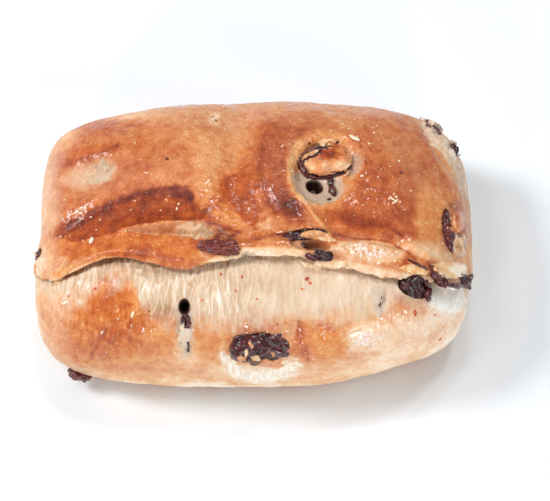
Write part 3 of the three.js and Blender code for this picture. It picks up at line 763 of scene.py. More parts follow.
def skin_relief(points, normals):
    """How far the baked skin stands out from the smooth form, in millimetres."""
    relief = bumps(points, SKIN_BUMPS)
    relief -= DIMPLE_DEPTH * smooth_step(0.45, 0.8, noise(points, 2.1, 7))
    px, py = photo_pixels(points)
    faces = facing_photo(normals)
    wobble = 3.2 * noise(points, *WOBBLE)
    for height, width, line in CREASES + SWELLS:
        distance = segment_distance(px + wobble * 0.4, py + wobble * 0.4, line) * PIXEL
        relief += height * faces * np.exp(-(distance / width) ** 2)
    ragged = bumps(points, RAGGED_EDGE)
    torn_bumps = bumps(points, TORN_BUMPS)
    creased = faces * spot_weight(px, py, CREASED_FRONT, CRISP_EDGE)
    relief += creased * bumps(points, CREASED_BUMPS)
    for row in PATCHES:
        height = row.get("height", 0) + row.get("rough", 0) * torn_bumps
        relief += height * faces * patch_share(px, py, ragged, row)
    for *spot, height in BLISTERS:
        blister = faces * spot_weight(px, py, spot, CRISP_EDGE)
        relief += height * blister * bumps(points, BLISTER_BUMPS)
    out = np.hypot(px - CRATER[0], (py - CRATER[1]) * 1.05)
    relief += CRATER_RIM * faces * np.exp(-((out - CRATER_EDGE) / CRATER_RIM_WIDTH) ** 2)
    relief += 0.03 * noise(points, 0.75, 10)
    return relief * smooth_step(0.2, 1.6, points[:, 2])


def plain_bake(points, normals, blotch, grain):
    """The bake that the form alone gives: browner with the height, paler at the ends, even underneath."""
    x, y, z = points.T
    bake = 0.08 + 0.42 * smooth_step(3, 30, z + 3 * blotch)
    bake = bake + 0.08 * smooth_step(-10, 20, y) * smooth_step(8, 26, z)
    bake -= 0.1 * smooth_step(40, 53, np.abs(x)) * smooth_step(36, 20, z)
    bake += 0.16 * blotch + 0.05 * grain
    under = smooth_step(-0.55, -0.9, normals[:, 2])
    return bake * (1 - under) + under * (0.5 + 0.14 * blotch), under


def pale_rim(points, grain):
    """How much of the pale edge of the lip covers a point."""
    x, y, z = points.T
    past_lip = (tear_degrees(y, z) - along(LIP, x)) * ARC
    pale_lip = along(PALE_LIP, x)
    inner = np.maximum(1.3 * pale_lip + 0.5 * grain, 0.3 * pale_lip + 0.1)
    rim = smooth_step(-2.5, -1.2, past_lip) * smooth_step(inner, 0.3 * pale_lip, past_lip)
    return RIM_COVER * rim * smooth_step(53, 49, np.abs(x)) * smooth_step(0.1, 0.5, pale_lip)


def crust_tones(points, normals):
    """The tones of points on the crust: bake, warm, glaze, juice stain with painted shade, painted shade in
    the holes, shade, ash and painted glints.
    """
    blotch = layered(points, 9, 3, 11)
    grain = layered(points, 2.2, 2, 15)
    mottle = layered(points, 3.2, 3, 17)
    bake, under = plain_bake(points, normals, blotch, grain)
    true_px, true_py = photo_pixels(points)
    px = bumps(points, WANDER_X, true_px)
    py = bumps(points, WANDER_Y, true_py)
    faces = facing_photo(normals)
    for *spot, tone, cover in TONES:
        bake = towards(bake, tone, cover * faces * spot_weight(px, py, spot))
    wobble = 2 * noise(points, *WOBBLE)
    for tone, cover, half_width, line in STROKES:
        distance = segment_distance(true_px + 0.5 * wobble, true_py, line)
        bake = towards(bake, tone, cover * faces * np.exp(-(distance / half_width) ** 2))
    bake += (0.035 * grain + 0.05 * mottle) * smooth_step(0.0, 0.3, bake) + 0.03 * blotch
    bake += faces * spot_weight(px, py, CREASED_FRONT, CRISP_EDGE) * bumps(points, CREASED_TONES)
    warm = 0.45 + 0.45 * blotch
    for *spot, cover in WARM:
        warm = towards(warm, cover, faces * spot_weight(px, py, spot))
    bake = towards(bake, RIM_BAKE, pale_rim(points, grain))
    stain = strongest(np.zeros(len(points)), JUICE_AND_SHADE, px, py, faces)
    # a dark ring round each raisin: its juice, and painted shade where the dough meets the raisin
    for name in RAISINS:
        near = smooth_step(0.3, -0.3, blob_distance(name, points, 0.1) + 0.3 * grain)
        stain = np.maximum(stain, SOCKET_JUICE_SHADE * near)
    # painted shade: the inside of the holes is painted dark
    hole_shade = np.zeros(len(points))
    for name in SHADED_HOLES:
        hole_shade = np.maximum(hole_shade, smooth_step(0.4, 0.15, blob_distance(name, points)))
    glaze = 0.25 + 0.35 * smooth_step(0.1, 0.5, bake)
    glaze = glaze * (0.8 + 0.6 * blotch + 0.3 * grain) * (1 - under)
    shade = np.full(len(points), 0.55)
    ash = np.zeros(len(points))
    ragged = bumps(points, RAGGED_EDGE)
    for row in PATCHES:
        w = faces * patch_share(true_px, true_py, ragged, row)
        if "bake" in row:
            bake += (row["bake"] * (1 + 0.16 * mottle + 0.08 * grain) - bake) * w
        for key, values in (("warm", warm), ("stain", stain), ("glaze", glaze), ("shade", shade)):
            values += (row.get(key, values) - values) * w
        shade += 0.45 * row.get("rough", 0) * w * noise(points, 0.9, 12)
        ash = np.maximum(ash, row.get("ash", 0) * w)
    glaze = strongest(glaze, SHINE, px, py, faces)
    # painted highlights: white glints painted into the colour
    painted_glint = strongest(np.zeros(len(points)), PAINTED_GLINTS, px, py, faces, CRISP_EDGE)
    # painted shade in the hollows and under the lip; a negative cover paints light
    for *spot, cover in PAINTED_SHADE_SPOTS:
        shade -= cover * faces * spot_weight(px, py, spot)
    return {"bake": bake, "warm": np.clip(warm, 0, 1), "glaze": np.clip(glaze, 0, 1),
            "stain": np.clip(stain, 0, 1), "hole_shade": hole_shade, "shade": np.clip(shade, 0, 1), "ash": ash,
            "painted_glint": painted_glint}


def crumb_share(points, normals):
    """1 where a point is in the torn crumb, 0 on the crust."""
    x, y, z = points.T
    px, py = photo_pixels(points)
    below = bumps(points, FOOT_WANDER, py - along(CRUMB_FOOT, px))
    degrees = tear_degrees(y, z)
    past_lip = (degrees - along(LIP, x)) * ARC
    deep = -dough(x, y, z)
    share = smooth_step(16, -14, below)
    share *= np.where(past_lip > -1.4, smooth_step(0.5, 1.3, deep), 1)
    share *= smooth_step(-60, 0, degrees) * smooth_step(110, 90, degrees)
    ragged = bumps(points, RAGGED_EDGE)
    for row in PATCHES:
        w = patch_share(px, py, ragged, row) * facing_photo(normals)
        share += (row.get("crumb", share) - share) * w
    return share


def build(name, points, faces, tones):
    """A mesh object in the frame from points in the dough's millimetres."""
    mesh = bpy.data.meshes.new(name)
    size = faces.shape[1]
    mesh.vertices.add(len(points))
    mesh.vertices.foreach_set("co", ((points + SHIFT) / 1000).astype(np.float32).ravel())
    mesh.loops.add(faces.size)
    mesh.loops.foreach_set("vertex_index", faces.astype(np.int32).ravel())
    mesh.polygons.add(len(faces))
    mesh.polygons.foreach_set("loop_start", np.arange(0, faces.size, size, dtype=np.int32))
    mesh.update(calc_edges=True)
    mesh.validate()
    mesh.polygons.foreach_set("use_smooth", np.full(len(mesh.polygons), True))
    for key, values in tones.items():
        layer = mesh.attributes.new(key, "FLOAT", "POINT")
        layer.data.foreach_set("value", np.asarray(values, np.float32))
    piece = bpy.data.objects.new(name, mesh)
    bpy.context.scene.collection.objects.link(piece)
    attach(piece, "root")
    return piece


def linear(red, green, blue):
    """A colour as the shader wants it, from 0 to 255 as a screen shows it."""
    value = np.array([red, green, blue]) / 255
    value = np.where(value <= 0.04045, value / 12.92, ((value + 0.055) / 1.055) ** 2.4)
    return (*value.tolist(), 1.0)


class Nodes:
    """A material's node tree, built a node at a time."""

    def __init__(self, name):
        self.material = bpy.data.materials.new(name)
        self.material.use_nodes = True
        self.tree = self.material.node_tree
        self.shader = self.tree.nodes["Principled BSDF"]

    def put(self, socket, value):
        if isinstance(value, bpy.types.NodeSocket):
            self.tree.links.new(value, socket)
        else:
            socket.default_value = value

    def add(self, kind, inputs=(), **settings):
        made = self.tree.nodes.new(kind)
        for key, value in settings.items():
            setattr(made, key, value)
        for key, value in dict(inputs).items():
            self.put(made.inputs[key], value)
        return made

    def tone(self, name):
        return self.add("ShaderNodeAttribute", attribute_name=name).outputs["Fac"]

    def speckle(self, scale, detail=3.0, roughness=0.55, stretch=None):
        where = self.add("ShaderNodeTexCoord").outputs["Object"]
        if stretch:
            where = self.add("ShaderNodeMapping", {"Vector": where, "Scale": stretch}).outputs["Vector"]
        made = self.add("ShaderNodeTexNoise", {"Vector": where, "Scale": scale, "Detail": detail,
                                               "Roughness": roughness})
        return made.outputs["Fac"]

    def sum(self, a, b, kind="ADD", clamp=False):
        return self.add("ShaderNodeMath", {0: a, 1: b}, operation=kind, use_clamp=clamp).outputs[0]

    def scaled(self, a, factor, offset=0.0):
        return self.add("ShaderNodeMath", {0: a, 1: factor, 2: offset}, operation="MULTIPLY_ADD").outputs[0]

    def span(self, value, low, high, to_low=0.0, to_high=1.0):
        made = self.add("ShaderNodeMapRange", {"Value": value, "From Min": low, "From Max": high,
                                               "To Min": to_low, "To Max": to_high},
                        interpolation_type="SMOOTHSTEP")
        return made.outputs["Result"]

    def ramp(self, value, *stops):
        made = self.add("ShaderNodeValToRGB", {"Fac": value})
        elements = made.color_ramp.elements
        while len(elements) < len(stops):
            elements.new(0.5)
        for element, (position, colour) in zip(elements, stops):
            element.position = position
            element.color = linear(*colour)
        return made.outputs["Color"]

    def blend(self, factor, a, b):
        made = self.add("ShaderNodeMix", data_type="RGBA")
        self.put(made.inputs[0], factor)
        self.put(made.inputs[6], a)
        self.put(made.inputs[7], b)
        return made.outputs[2]

    def relief(self, height, distance, strength=1.0):
        made = self.add("ShaderNodeBump", {"Height": height, "Distance": distance, "Strength": strength})
        self.put(self.shader.inputs["Normal"], made.outputs["Normal"])
        self.put(self.shader.inputs["Coat Normal"], made.outputs["Normal"])

    def finish(self, **values):
        for key, value in values.items():
            self.put(self.shader.inputs[key.replace("_", " ")], value)
        return self.material


CRUST_STOPS = (
    (0.0, (250, 236, 218)), (0.15, (240, 205, 173)), (0.3, (225, 169, 129)), (0.45, (205, 134, 94)),
    (0.6, (180, 100, 68)), (0.75, (142, 69, 50)), (0.9, (98, 47, 40)), (1.0, (64, 34, 34)),
)
AMBER_STOPS = (
    (0.0, (250, 230, 198)), (0.15, (242, 202, 150)), (0.3, (232, 168, 104)), (0.45, (216, 131, 62)),
    (0.6, (191, 94, 38)), (0.75, (154, 64, 28)), (0.9, (102, 40, 25)), (1.0, (62, 27, 20)),
)
CRUMB_STOPS = (
    (0.0, (170, 136, 106)), (0.25, (200, 168, 136)), (0.5, (217, 190, 162)), (0.75, (230, 208, 184)),
    (1.0, (253, 247, 238)),
)
PAINTED_GLINT_WHITE = (249, 230, 226)
# the brown of raisin juice, also used for painted shade, and the painted shade inside the holes
JUICE_SHADE_BROWN, HOLE_SHADE_BROWN = (88, 42, 36), (58, 31, 24)
ASH = (203, 184, 166)    # dough greyed by a raisin's juice
RAISIN_STOPS = ((0.3, (20, 4, 6)), (0.55, (50, 13, 17)), (0.78, (104, 31, 27)), (1.0, (160, 76, 48)))
PALE_STOPS = ((0.0, (248, 232, 208)), (0.5, (240, 204, 162)), (1.0, (214, 150, 92)))
FLECK_STOPS = ((0.0, (226, 110, 48)), (0.45, (176, 54, 28)), (1.0, (48, 18, 16)))
FLOOR_STOPS = ((0.3, (235, 240, 245)), (0.7, (237, 242, 247)))


def skin_colour(m, mottle, fine):
    """The crust's colour from its tones, for the crust and for the foot of the crumb, with painted white
    glints where the egg wash shines.
    """
    bake = m.sum(m.tone("bake"), m.scaled(mottle, 0.36, -0.18))
    bake = m.sum(bake, m.scaled(fine, 0.26, -0.13))
    bake = m.sum(bake, m.span(m.speckle(1500, 2, 0.5), 0.64, 0.7, 0.0, -0.16))
    bake = m.sum(bake, m.span(m.speckle(900, 3, 0.6), 0.63, 0.72, 0.0, 0.12), clamp=True)
    warm = m.sum(m.tone("warm"), m.scaled(mottle, 0.6, -0.3), clamp=True)
    baked = m.blend(warm, m.ramp(bake, *CRUST_STOPS), m.ramp(bake, *AMBER_STOPS))
    # painted highlights: white glint specks mixed into the colour
    glint_specks = m.span(m.sum(m.speckle(1150, 3, 0.6), m.scaled(m.tone("painted_glint"), 0.26)), 0.66, 0.76)
    return m.blend(m.sum(glint_specks, m.tone("painted_glint"), "MULTIPLY"), baked, linear(*PAINTED_GLINT_WHITE))


def juiced_and_shaded(m, colour, mottle):
    """A colour greyed by ash, darkened by a raisin's juice and by painted shade, with painted shade inside
    the holes.
    """
    stain = m.sum(m.tone("stain"), m.scaled(mottle, 0.9, 0.55), "MULTIPLY", clamp=True)
    ashen = m.sum(m.tone("ash"), m.scaled(mottle, 1.0, 0.5), "MULTIPLY", clamp=True)
    colour = m.blend(ashen, colour, linear(*ASH))
    return m.blend(m.tone("hole_shade"), m.blend(stain, colour, linear(*JUICE_SHADE_BROWN)), linear(*HOLE_SHADE_BROWN))


def bread_material(name, stretch):
    """Egg-washed crust, with pale torn crumb where the tones say so. stretch draws the crumb's grain out."""
    m = Nodes(name)
    mottle = m.speckle(520, 4, 0.62)
    fine = m.speckle(2600, 2, 0.7)
    streak = m.speckle(900, 4, 0.6, stretch)
    light = m.sum(m.tone("shade"), m.scaled(streak, 0.55, -0.275))
    light = m.sum(light, m.scaled(fine, 0.25, -0.125), clamp=True)
    colour = m.blend(m.tone("crumb"), skin_colour(m, mottle, fine), m.ramp(light, *CRUMB_STOPS))
    wet = m.span(m.tone("glaze"), 0.1, 0.95)
    rough = m.sum(m.scaled(wet, -0.22, 0.52), m.scaled(m.tone("crumb"), 0.25))
    rough = m.sum(rough, m.scaled(fine, 0.2, -0.1))
    m.relief(m.speckle(1000, 4, 0.55), 0.00032, 1.0)
    wave = m.add("ShaderNodeBump", {"Height": m.speckle(420, 2.5, 0.55), "Distance": 0.0002, "Strength": 1.0})
    m.put(m.shader.inputs["Coat Normal"], wave.outputs["Normal"])
    return m.finish(Base_Color=juiced_and_shaded(m, colour, mottle), Roughness=rough, Coat_Weight=m.scaled(wet, 0.9),
                    Coat_Roughness=0.11, Specular_IOR_Level=0.2,
                    Subsurface_Weight=m.scaled(m.tone("crumb"), 0.15, 0.1), Subsurface_Scale=0.0022,
                    Subsurface_Radius=(1.0, 0.6, 0.4))


# Sheets of fine skin lie over the carved body: one over the crown, one over the tear and the front below it
SHEET_HALF, SHEET_BACK, SHEET_FRONT = 50.9, 174.0, -32.0
SHEET_CELL, SHEET_THICKNESS, BODY_SINK = 0.27, 1.2, 0.65
BOX_MARGIN, GREATEST_FIX, UNDERSIDE_TOP = 0.02, 0.15, 0.3
OPENING_DEPTH = 8.0    # how deep a sheet dives where it gives way to a raisin or a hole
MIDDLE_POINTS = 400    # along the middle line that spaces the crown's rows
UPWARD = np.array([0.0, 0.0, 1.0])
# How far the lip's ragged edge stands over the tear, its thickness, and how far it curls down
LIP_REACH, LIP_EDGE, LIP_CURL = 0.55, 0.45, 0.35


def under_crust(x, degrees, depth):
    """Points at a place along the roll and round its axis, and at a depth in the untorn dough."""
    angle = np.radians(degrees)
    ray_y, ray_z = -np.cos(angle), np.sin(angle)
    radius = np.full(x.shape, 20.0)
    for _ in range(34):
        inside = -dough(x, AXIS_Y + radius * ray_y, AXIS_Z + radius * ray_z)
        radius = np.maximum(radius + np.clip((inside - depth) * 0.9, -3, 3), 1.0)
    return np.stack([x, AXIS_Y + radius * ray_y, AXIS_Z + radius * ray_z], -1)


def grid_faces(rows, columns, start=0):
    i, j = np.meshgrid(np.arange(rows - 1), np.arange(columns - 1), indexing="ij")
    first = start + (i * columns + j).ravel()
    return np.stack([first, first + columns, first + columns + 1, first + 1], 1)


def facing_grid(points, shape, outward):
    """Faces and normals of a grid of points, turned so that they face outward."""
    faces = grid_faces(*shape)
    normals = vertex_normals(points, faces)
    if (normals @ outward).mean() < 0:
        faces, normals = faces[:, ::-1], -normals
    return faces, normals


def grid_edge(rows, columns):
    """The numbers of a grid's outer points, in order round it."""
    return np.concatenate([
        np.arange(rows) * columns, (rows - 1) * columns + np.arange(1, columns),
        np.arange(rows - 2, -1, -1) * columns + columns - 1, np.arange(columns - 2, 0, -1)])


def closed_sheet(top, bottom, faces, shape):
    """A closed mesh from a grid's top and bottom."""
    edge = grid_edge(*shape)
    rim = np.stack([edge, np.roll(edge, -1), np.roll(edge, -1) + len(top), edge + len(top)], 1)
    return np.concatenate([top, bottom]), np.concatenate([faces, faces[:, ::-1] + len(top), rim])


def backed_sheet(top, back, faces, shape, step=6):
    """A closed mesh of triangles: a fine top, and a back with one point for every step rows and columns."""
    rows, columns = shape
    row_picks = np.unique(np.append(np.arange(0, rows, step), rows - 1))
    column_picks = np.unique(np.append(np.arange(0, columns, step), columns - 1))
    picks = (row_picks[:, None] * columns + column_picks).ravel()
    number = np.full(rows * columns, -1)
    number[picks] = len(top) + np.arange(len(picks))
    under = grid_faces(len(row_picks), len(column_picks), len(top))
    triangles = [faces[:, [0, 1, 2]], faces[:, [0, 2, 3]]]
    if (faces[0] != grid_faces(2, columns)[0]).any():
        triangles += [under[:, [0, 1, 2]], under[:, [0, 2, 3]]]
        turn = 1
    else:
        triangles += [under[:, [2, 1, 0]], under[:, [3, 2, 0]]]
        turn = -1
    loop = grid_edge(rows, columns)
    rim = []
    held = number[loop[0]]
    for here, after in zip(loop, np.roll(loop, -1)):
        rim.append((after, here, held)[::turn])
        if number[after] >= 0:
            rim.append((after, held, number[after])[::turn])
            held = number[after]
    return np.concatenate([top, back[picks]]), np.concatenate(triangles + [np.array(rim)]), picks


def covered(points):
    """1 where a sheet lies over the body, 0 where the body itself shows."""
    x, y, z = points.T
    degrees = tear_degrees(y, z)
    over = smooth_step(SHEET_FRONT + 4, SHEET_FRONT + 8, degrees)
    over *= smooth_step(SHEET_BACK - 4, SHEET_BACK - 7, degrees)
    return over * smooth_step(SHEET_HALF - 1.9, SHEET_HALF - 3.6, np.abs(x))


def sheet_sink(x, degrees):
    """How deep the edges of a sheet dive into the body, in millimetres."""
    ends = 1.3 * smooth_step(SHEET_HALF - 1.8, SHEET_HALF, np.abs(x))
    front = 0.9 * smooth_step(SHEET_FRONT + 3.5, SHEET_FRONT, degrees)
    return ends + front + 0.9 * smooth_step(SHEET_BACK - 3.5, SHEET_BACK, degrees)


# How far the sheets reach over a raisin's edge, as a share of the raisin's smallest size
EDGE_COVER = {"front": 0.05, "side": 0.0, "gap": 0.0, "slit": 0.0, "crater": 0.25}


def opened(points):
    """1 where a sheet must give way to a raisin or a hole."""
    away = np.full(len(points), 9.0)
    for name, row in RAISINS.items():
        away = np.minimum(away, blob_distance(name, points) + EDGE_COVER.get(name, 0.1) * min(row["size"]))
    for name, row in HOLES.items():
        away = np.minimum(away, blob_distance(name, points, -row["inward"]))
    return smooth_step(0.15, -0.25, away)


# Crust: the carved body of the bun
BODY_X = spaced((-56, -45, 0.5), (-45, 45, 0.95), (45, 56, 0.5))
BODY_Y = spaced((-38.5, 39, 0.72))
BODY_Z = spaced((-1, 43.5, 0.6))
crust_points, crust_faces = surface_net(crust_field, BODY_X, BODY_Y, BODY_Z)
crust_normals = vertex_normals(crust_points, crust_faces)
for _ in range(2):
    gap = np.clip(crust_field(*crust_points.T), -GREATEST_FIX, GREATEST_FIX)[:, None]
    crust_points = crust_points - crust_normals * gap * (crust_points[:, 2:] > UNDERSIDE_TOP)
crust_normals = vertex_normals(crust_points, crust_faces)
share = crumb_share(crust_points, crust_normals)
relief = skin_relief(crust_points, crust_normals)
crater_out = np.hypot(*(np.array(photo_pixels(crust_points)) - np.array(CRATER)[:, None]))
sunk = (BODY_SINK + 0.6 * smooth_step(44, 34, crater_out)) * covered(crust_points)
crust_tone = {**crust_tones(crust_points, crust_normals), "crumb": share}
crust_points = (crust_points + crust_normals * relief[:, None]
                - unit(slope_of(dough, crust_points)) * sunk[:, None])

box_low, box_high = np.array(cad_box) * 1000 - SHIFT


def within_box(points):
    """The points, held a little inside the box of the solids."""
    return np.clip(points, box_low + BOX_MARGIN, box_high - BOX_MARGIN)


crust_points = within_box(crust_points)
crust = build("crust", crust_points, crust_faces, crust_tone)
crust.data.materials.append(bread_material("crust", (1.0, 1.0, 1.0)))
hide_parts("bread")


def build_sheet(name, points, normals, faces, shape, tones, material, thickness):
    """A sheet's fine top over a coarse back, in the bread's place."""
    points = within_box(points)
    solid_points, triangles, picks = backed_sheet(points, points - normals * thickness[:, None], faces, shape)
    solid_points = within_box(solid_points)
    tones = {key: np.concatenate([values, values[picks]]) for key, values in tones.items()}
    piece = build(name, solid_points, triangles, tones)
    piece.data.materials.append(material)
    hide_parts("bread")
    return points


# Crown: the browned skin from the lip's ragged edge over the top to the back
middle = np.linspace(along(LIP, 0.0), SHEET_BACK, MIDDLE_POINTS)
middle_points = under_crust(np.zeros(MIDDLE_POINTS), middle, np.zeros(MIDDLE_POINTS))
travel = np.append(0, np.cumsum(np.linalg.norm(np.diff(middle_points, axis=0), axis=1)))
middle_share = (middle - middle[0]) / (middle[-1] - middle[0])
crown_rows = np.interp(np.arange(0, travel[-1], SHEET_CELL), travel, middle_share)
crown_x = np.linspace(-SHEET_HALF, SHEET_HALF, round(2 * SHEET_HALF / SHEET_CELL) + 1)
grid_x, grid_t = np.meshgrid(crown_x, crown_rows, indexing="ij")
lip_line = along(LIP, grid_x)
edge_points = roll_points(grid_x)
reach = LIP_REACH + 0.8 * lip_tongue(grid_x)
reach += 0.35 * layered(edge_points, 2.6, 3, 61).reshape(grid_x.shape)
reach += smooth_step(12, 18, grid_x) * (0.35 + 0.5 * noise(edge_points, 0.9, 63).reshape(grid_x.shape))
past = grid_t * (SHEET_BACK - lip_line) * ARC
grid_degrees = lip_line + past / ARC - np.maximum(reach, 0.05) * np.exp(-past / 1.2) / ARC
crown_base = under_crust(grid_x, grid_degrees, sheet_sink(grid_x, grid_degrees)).reshape(-1, 3)
crown_faces, crown_normals = facing_grid(crown_base, grid_x.shape, UPWARD)
curl = LIP_CURL * np.exp(-past.ravel() / 0.5) * smooth_step(50, 47, np.abs(grid_x.ravel()))
crown_relief = skin_relief(crown_base, crown_normals) - curl
crown_relief -= OPENING_DEPTH * opened(crown_base)
crown_points = crown_base + crown_normals * crown_relief[:, None]
crown_tone = {**crust_tones(crown_base, crown_normals), "crumb": crumb_share(crown_base, crown_normals)}
thickness = LIP_EDGE + (SHEET_THICKNESS - LIP_EDGE) * smooth_step(0, 3, past.ravel())
crown_points = build_sheet("crown", crown_points, crown_normals, crown_faces, grid_x.shape, crown_tone,
                           crust.data.materials[0], thickness)

# Front: the torn crumb, stretched into strands below the lip, and the crust that it fades into
# Noises drawn out down the tear: cell and seed, with the height first for the bends
PULL_BENDS = ((0.6, (5, 5, 1), 41), (0.2, (1.8, 2.6, 1), 42))
STRAND_NOISE, FIBRE_NOISE, FUZZ_NOISE = ((2.1, 9, 1), 43), ((0.6, 4.2, 1), 45), ((0.5, 1.3, 1), 50)
THREAD_NOISE, FINE_THREAD_NOISE, PORE_NOISE = ((1.7, 10, 1), 44), ((1.1, 6, 1), 51), ((1.9, 3.6, 1), 46)
FRONT_NOISE = ((0.7, 2, 1), 52)
crumb_x = np.arange(-SHEET_HALF - 0.4, SHEET_HALF - 0.2, 0.24)
# Rows from the sheet's front (-FOOT_ROW) over the tear's foot (0) and lip (1) to just under the lip
FOOT_ROW = 1.5
below_foot = np.linspace(-FOOT_ROW, 0, 100)[:-1]
front_rows = np.concatenate([below_foot, np.arange(0, 1.0, 0.0165), [1.0, 1.05, 1.1, 1.18]])
grid_x, grid_across = np.meshgrid(crumb_x, front_rows, indexing="ij")
lip_line, foot_line = along(LIP, grid_x), along(TEAR_FOOT, grid_x)
span = np.where(grid_across < 0, (foot_line - SHEET_FRONT) / FOOT_ROW, lip_line - foot_line)
grid_degrees = foot_line + span * grid_across
floor_depth = tear_floor(along(TEAR_DEPTH, grid_x), np.clip(grid_across, 0, 1))
floor_depth = smooth_max(floor_depth, 0 * floor_depth, 0.2) + sheet_sink(grid_x + 0.4, grid_degrees)
front_base = under_crust(grid_x, grid_degrees, floor_depth)
flat_points = front_base.reshape(-1, 3)
crumb_faces, crumb_normals = facing_grid(flat_points, grid_x.shape, UPWARD)
flat_x, flat_across = grid_x.ravel(), grid_across.ravel()
arc = ((grid_degrees - foot_line) * ARC).ravel()
pull = np.stack([flat_x, arc, np.zeros(arc.size)], 1)
pull[:, 0] += bumps(pull, PULL_BENDS)
web = smooth_step(10, -10, flat_x)
strand, fibre, fuzz = noise(pull, *STRAND_NOISE), noise(pull, *FIBRE_NOISE), noise(pull, *FUZZ_NOISE)
thread = 1 - smooth_step(0.0, 0.14, np.abs(noise(pull, *THREAD_NOISE)))
fine_thread = 1 - smooth_step(0.0, 0.13, np.abs(noise(pull, *FINE_THREAD_NOISE)))
thread = np.maximum(thread, 0.8 * fine_thread)
pore = smooth_step(0.25, 0.75, noise(pull, *PORE_NOISE))
room = smooth_step(0.1, 0.45, flat_across) * smooth_step(50, 42, np.abs(flat_x))
crumb_relief = 0.15 * strand + 0.1 * fibre + 0.05 * fuzz + 0.3 * web * thread
crumb_relief -= (0.1 + 0.4 * web) * pore * room
crumb_relief += 0.3 * noise(flat_points, 4.5, 48) * room
share_torn = crumb_share(flat_points, crumb_normals)
in_tear = smooth_step(-0.1, 0.15, flat_across)
front_skin = skin_relief(flat_points, crumb_normals)
front_relief = crumb_relief * share_torn + front_skin * (1 - in_tear * share_torn)
front_relief += 0.07 * noise(pull, *FRONT_NOISE) * (1 - share_torn)
torn = flat_points + crumb_normals * (front_relief - OPENING_DEPTH * opened(flat_points))[:, None]
crumb_tones = {**crust_tones(flat_points, crumb_normals), "crumb": share_torn}
# painted shade: the crumb is lighter on its raised strands and darker in its pores and just under the lip
shade = crumb_tones["shade"] + 0.4 * crumb_relief - 0.12 * smooth_step(0.7, 1.0, flat_across)
shade += 0.3 * web * (thread - 0.35) + 0.1 * fibre + 0.08 * fuzz
crumb_tones["shade"] = np.clip(shade, 0, 1)
crumb_tones["glaze"] = crumb_tones["glaze"] * (1 - 0.8 * share_torn)
torn = build_sheet("crumb", torn, crumb_normals, crumb_faces, grid_x.shape, crumb_tones,
                   bread_material("crumb", (1.0, 0.25, 0.25)), np.full(len(torn), SHEET_THICKNESS))


# Raisins: a soft wrinkled skin over the same folded ovals as the solids
def raisin_material():
    m = Nodes("raisin")
    mottle = m.speckle(620, 4, 0.6)
    fine = m.speckle(2400, 3, 0.6)
    depth = m.sum(m.scaled(mottle, 0.8), m.scaled(fine, 0.3))
    depth = m.sum(depth, m.scaled(m.tone("ripe"), 0.35, -0.08), clamp=True)
    colour = m.ramp(depth, *RAISIN_STOPS)
    m.relief(m.sum(m.scaled(mottle, 0.7), m.scaled(fine, 0.3)), 0.00008, 1.0)
    return m.finish(Base_Color=colour, Roughness=m.span(fine, 0.3, 0.7, 0.3, 0.5), Coat_Weight=1.0,
                    Coat_IOR=1.5, Specular_IOR_Level=0.15, Coat_Roughness=0.08, Subsurface_Weight=0.05,
                    Subsurface_Scale=0.001)


raisin_skin = raisin_material()


def tube_faces(rounds, rings):
    """Faces of a tube of rings with closed ends, where the last two points are the ends' middles."""
    faces = []
    end = rounds * rings
    last = end - rounds
    for base in range(0, last, rounds):
        after = base + rounds
        for i in range(rounds):
            j = (i + 1) % rounds
            faces.append((base + i, after + i, after + j, base + j))
    for i in range(0, rounds, 2):
        j, k = (i + 1) % rounds, (i + 2) % rounds
        faces.append((end, i, j, k))
        faces.append((end + 1, last + k, last + j, last + i))
    return np.array(faces)


def ball(rounds, rings):
    """Points of a unit ball along its first axis, with faces and closed ends."""
    theta = np.linspace(0, math.pi, rings + 2)[1:-1]
    phi = np.arange(rounds) * 2 * math.pi / rounds
    a = np.repeat(np.cos(theta), rounds)
    r = np.repeat(np.sin(theta), rounds)
    angle = np.tile(phi, rings)
    points = np.stack([a, r * np.cos(angle), r * np.sin(angle)], 1)
    return np.concatenate([points, [[1, 0, 0], [-1, 0, 0]]]), tube_faces(rounds, rings)


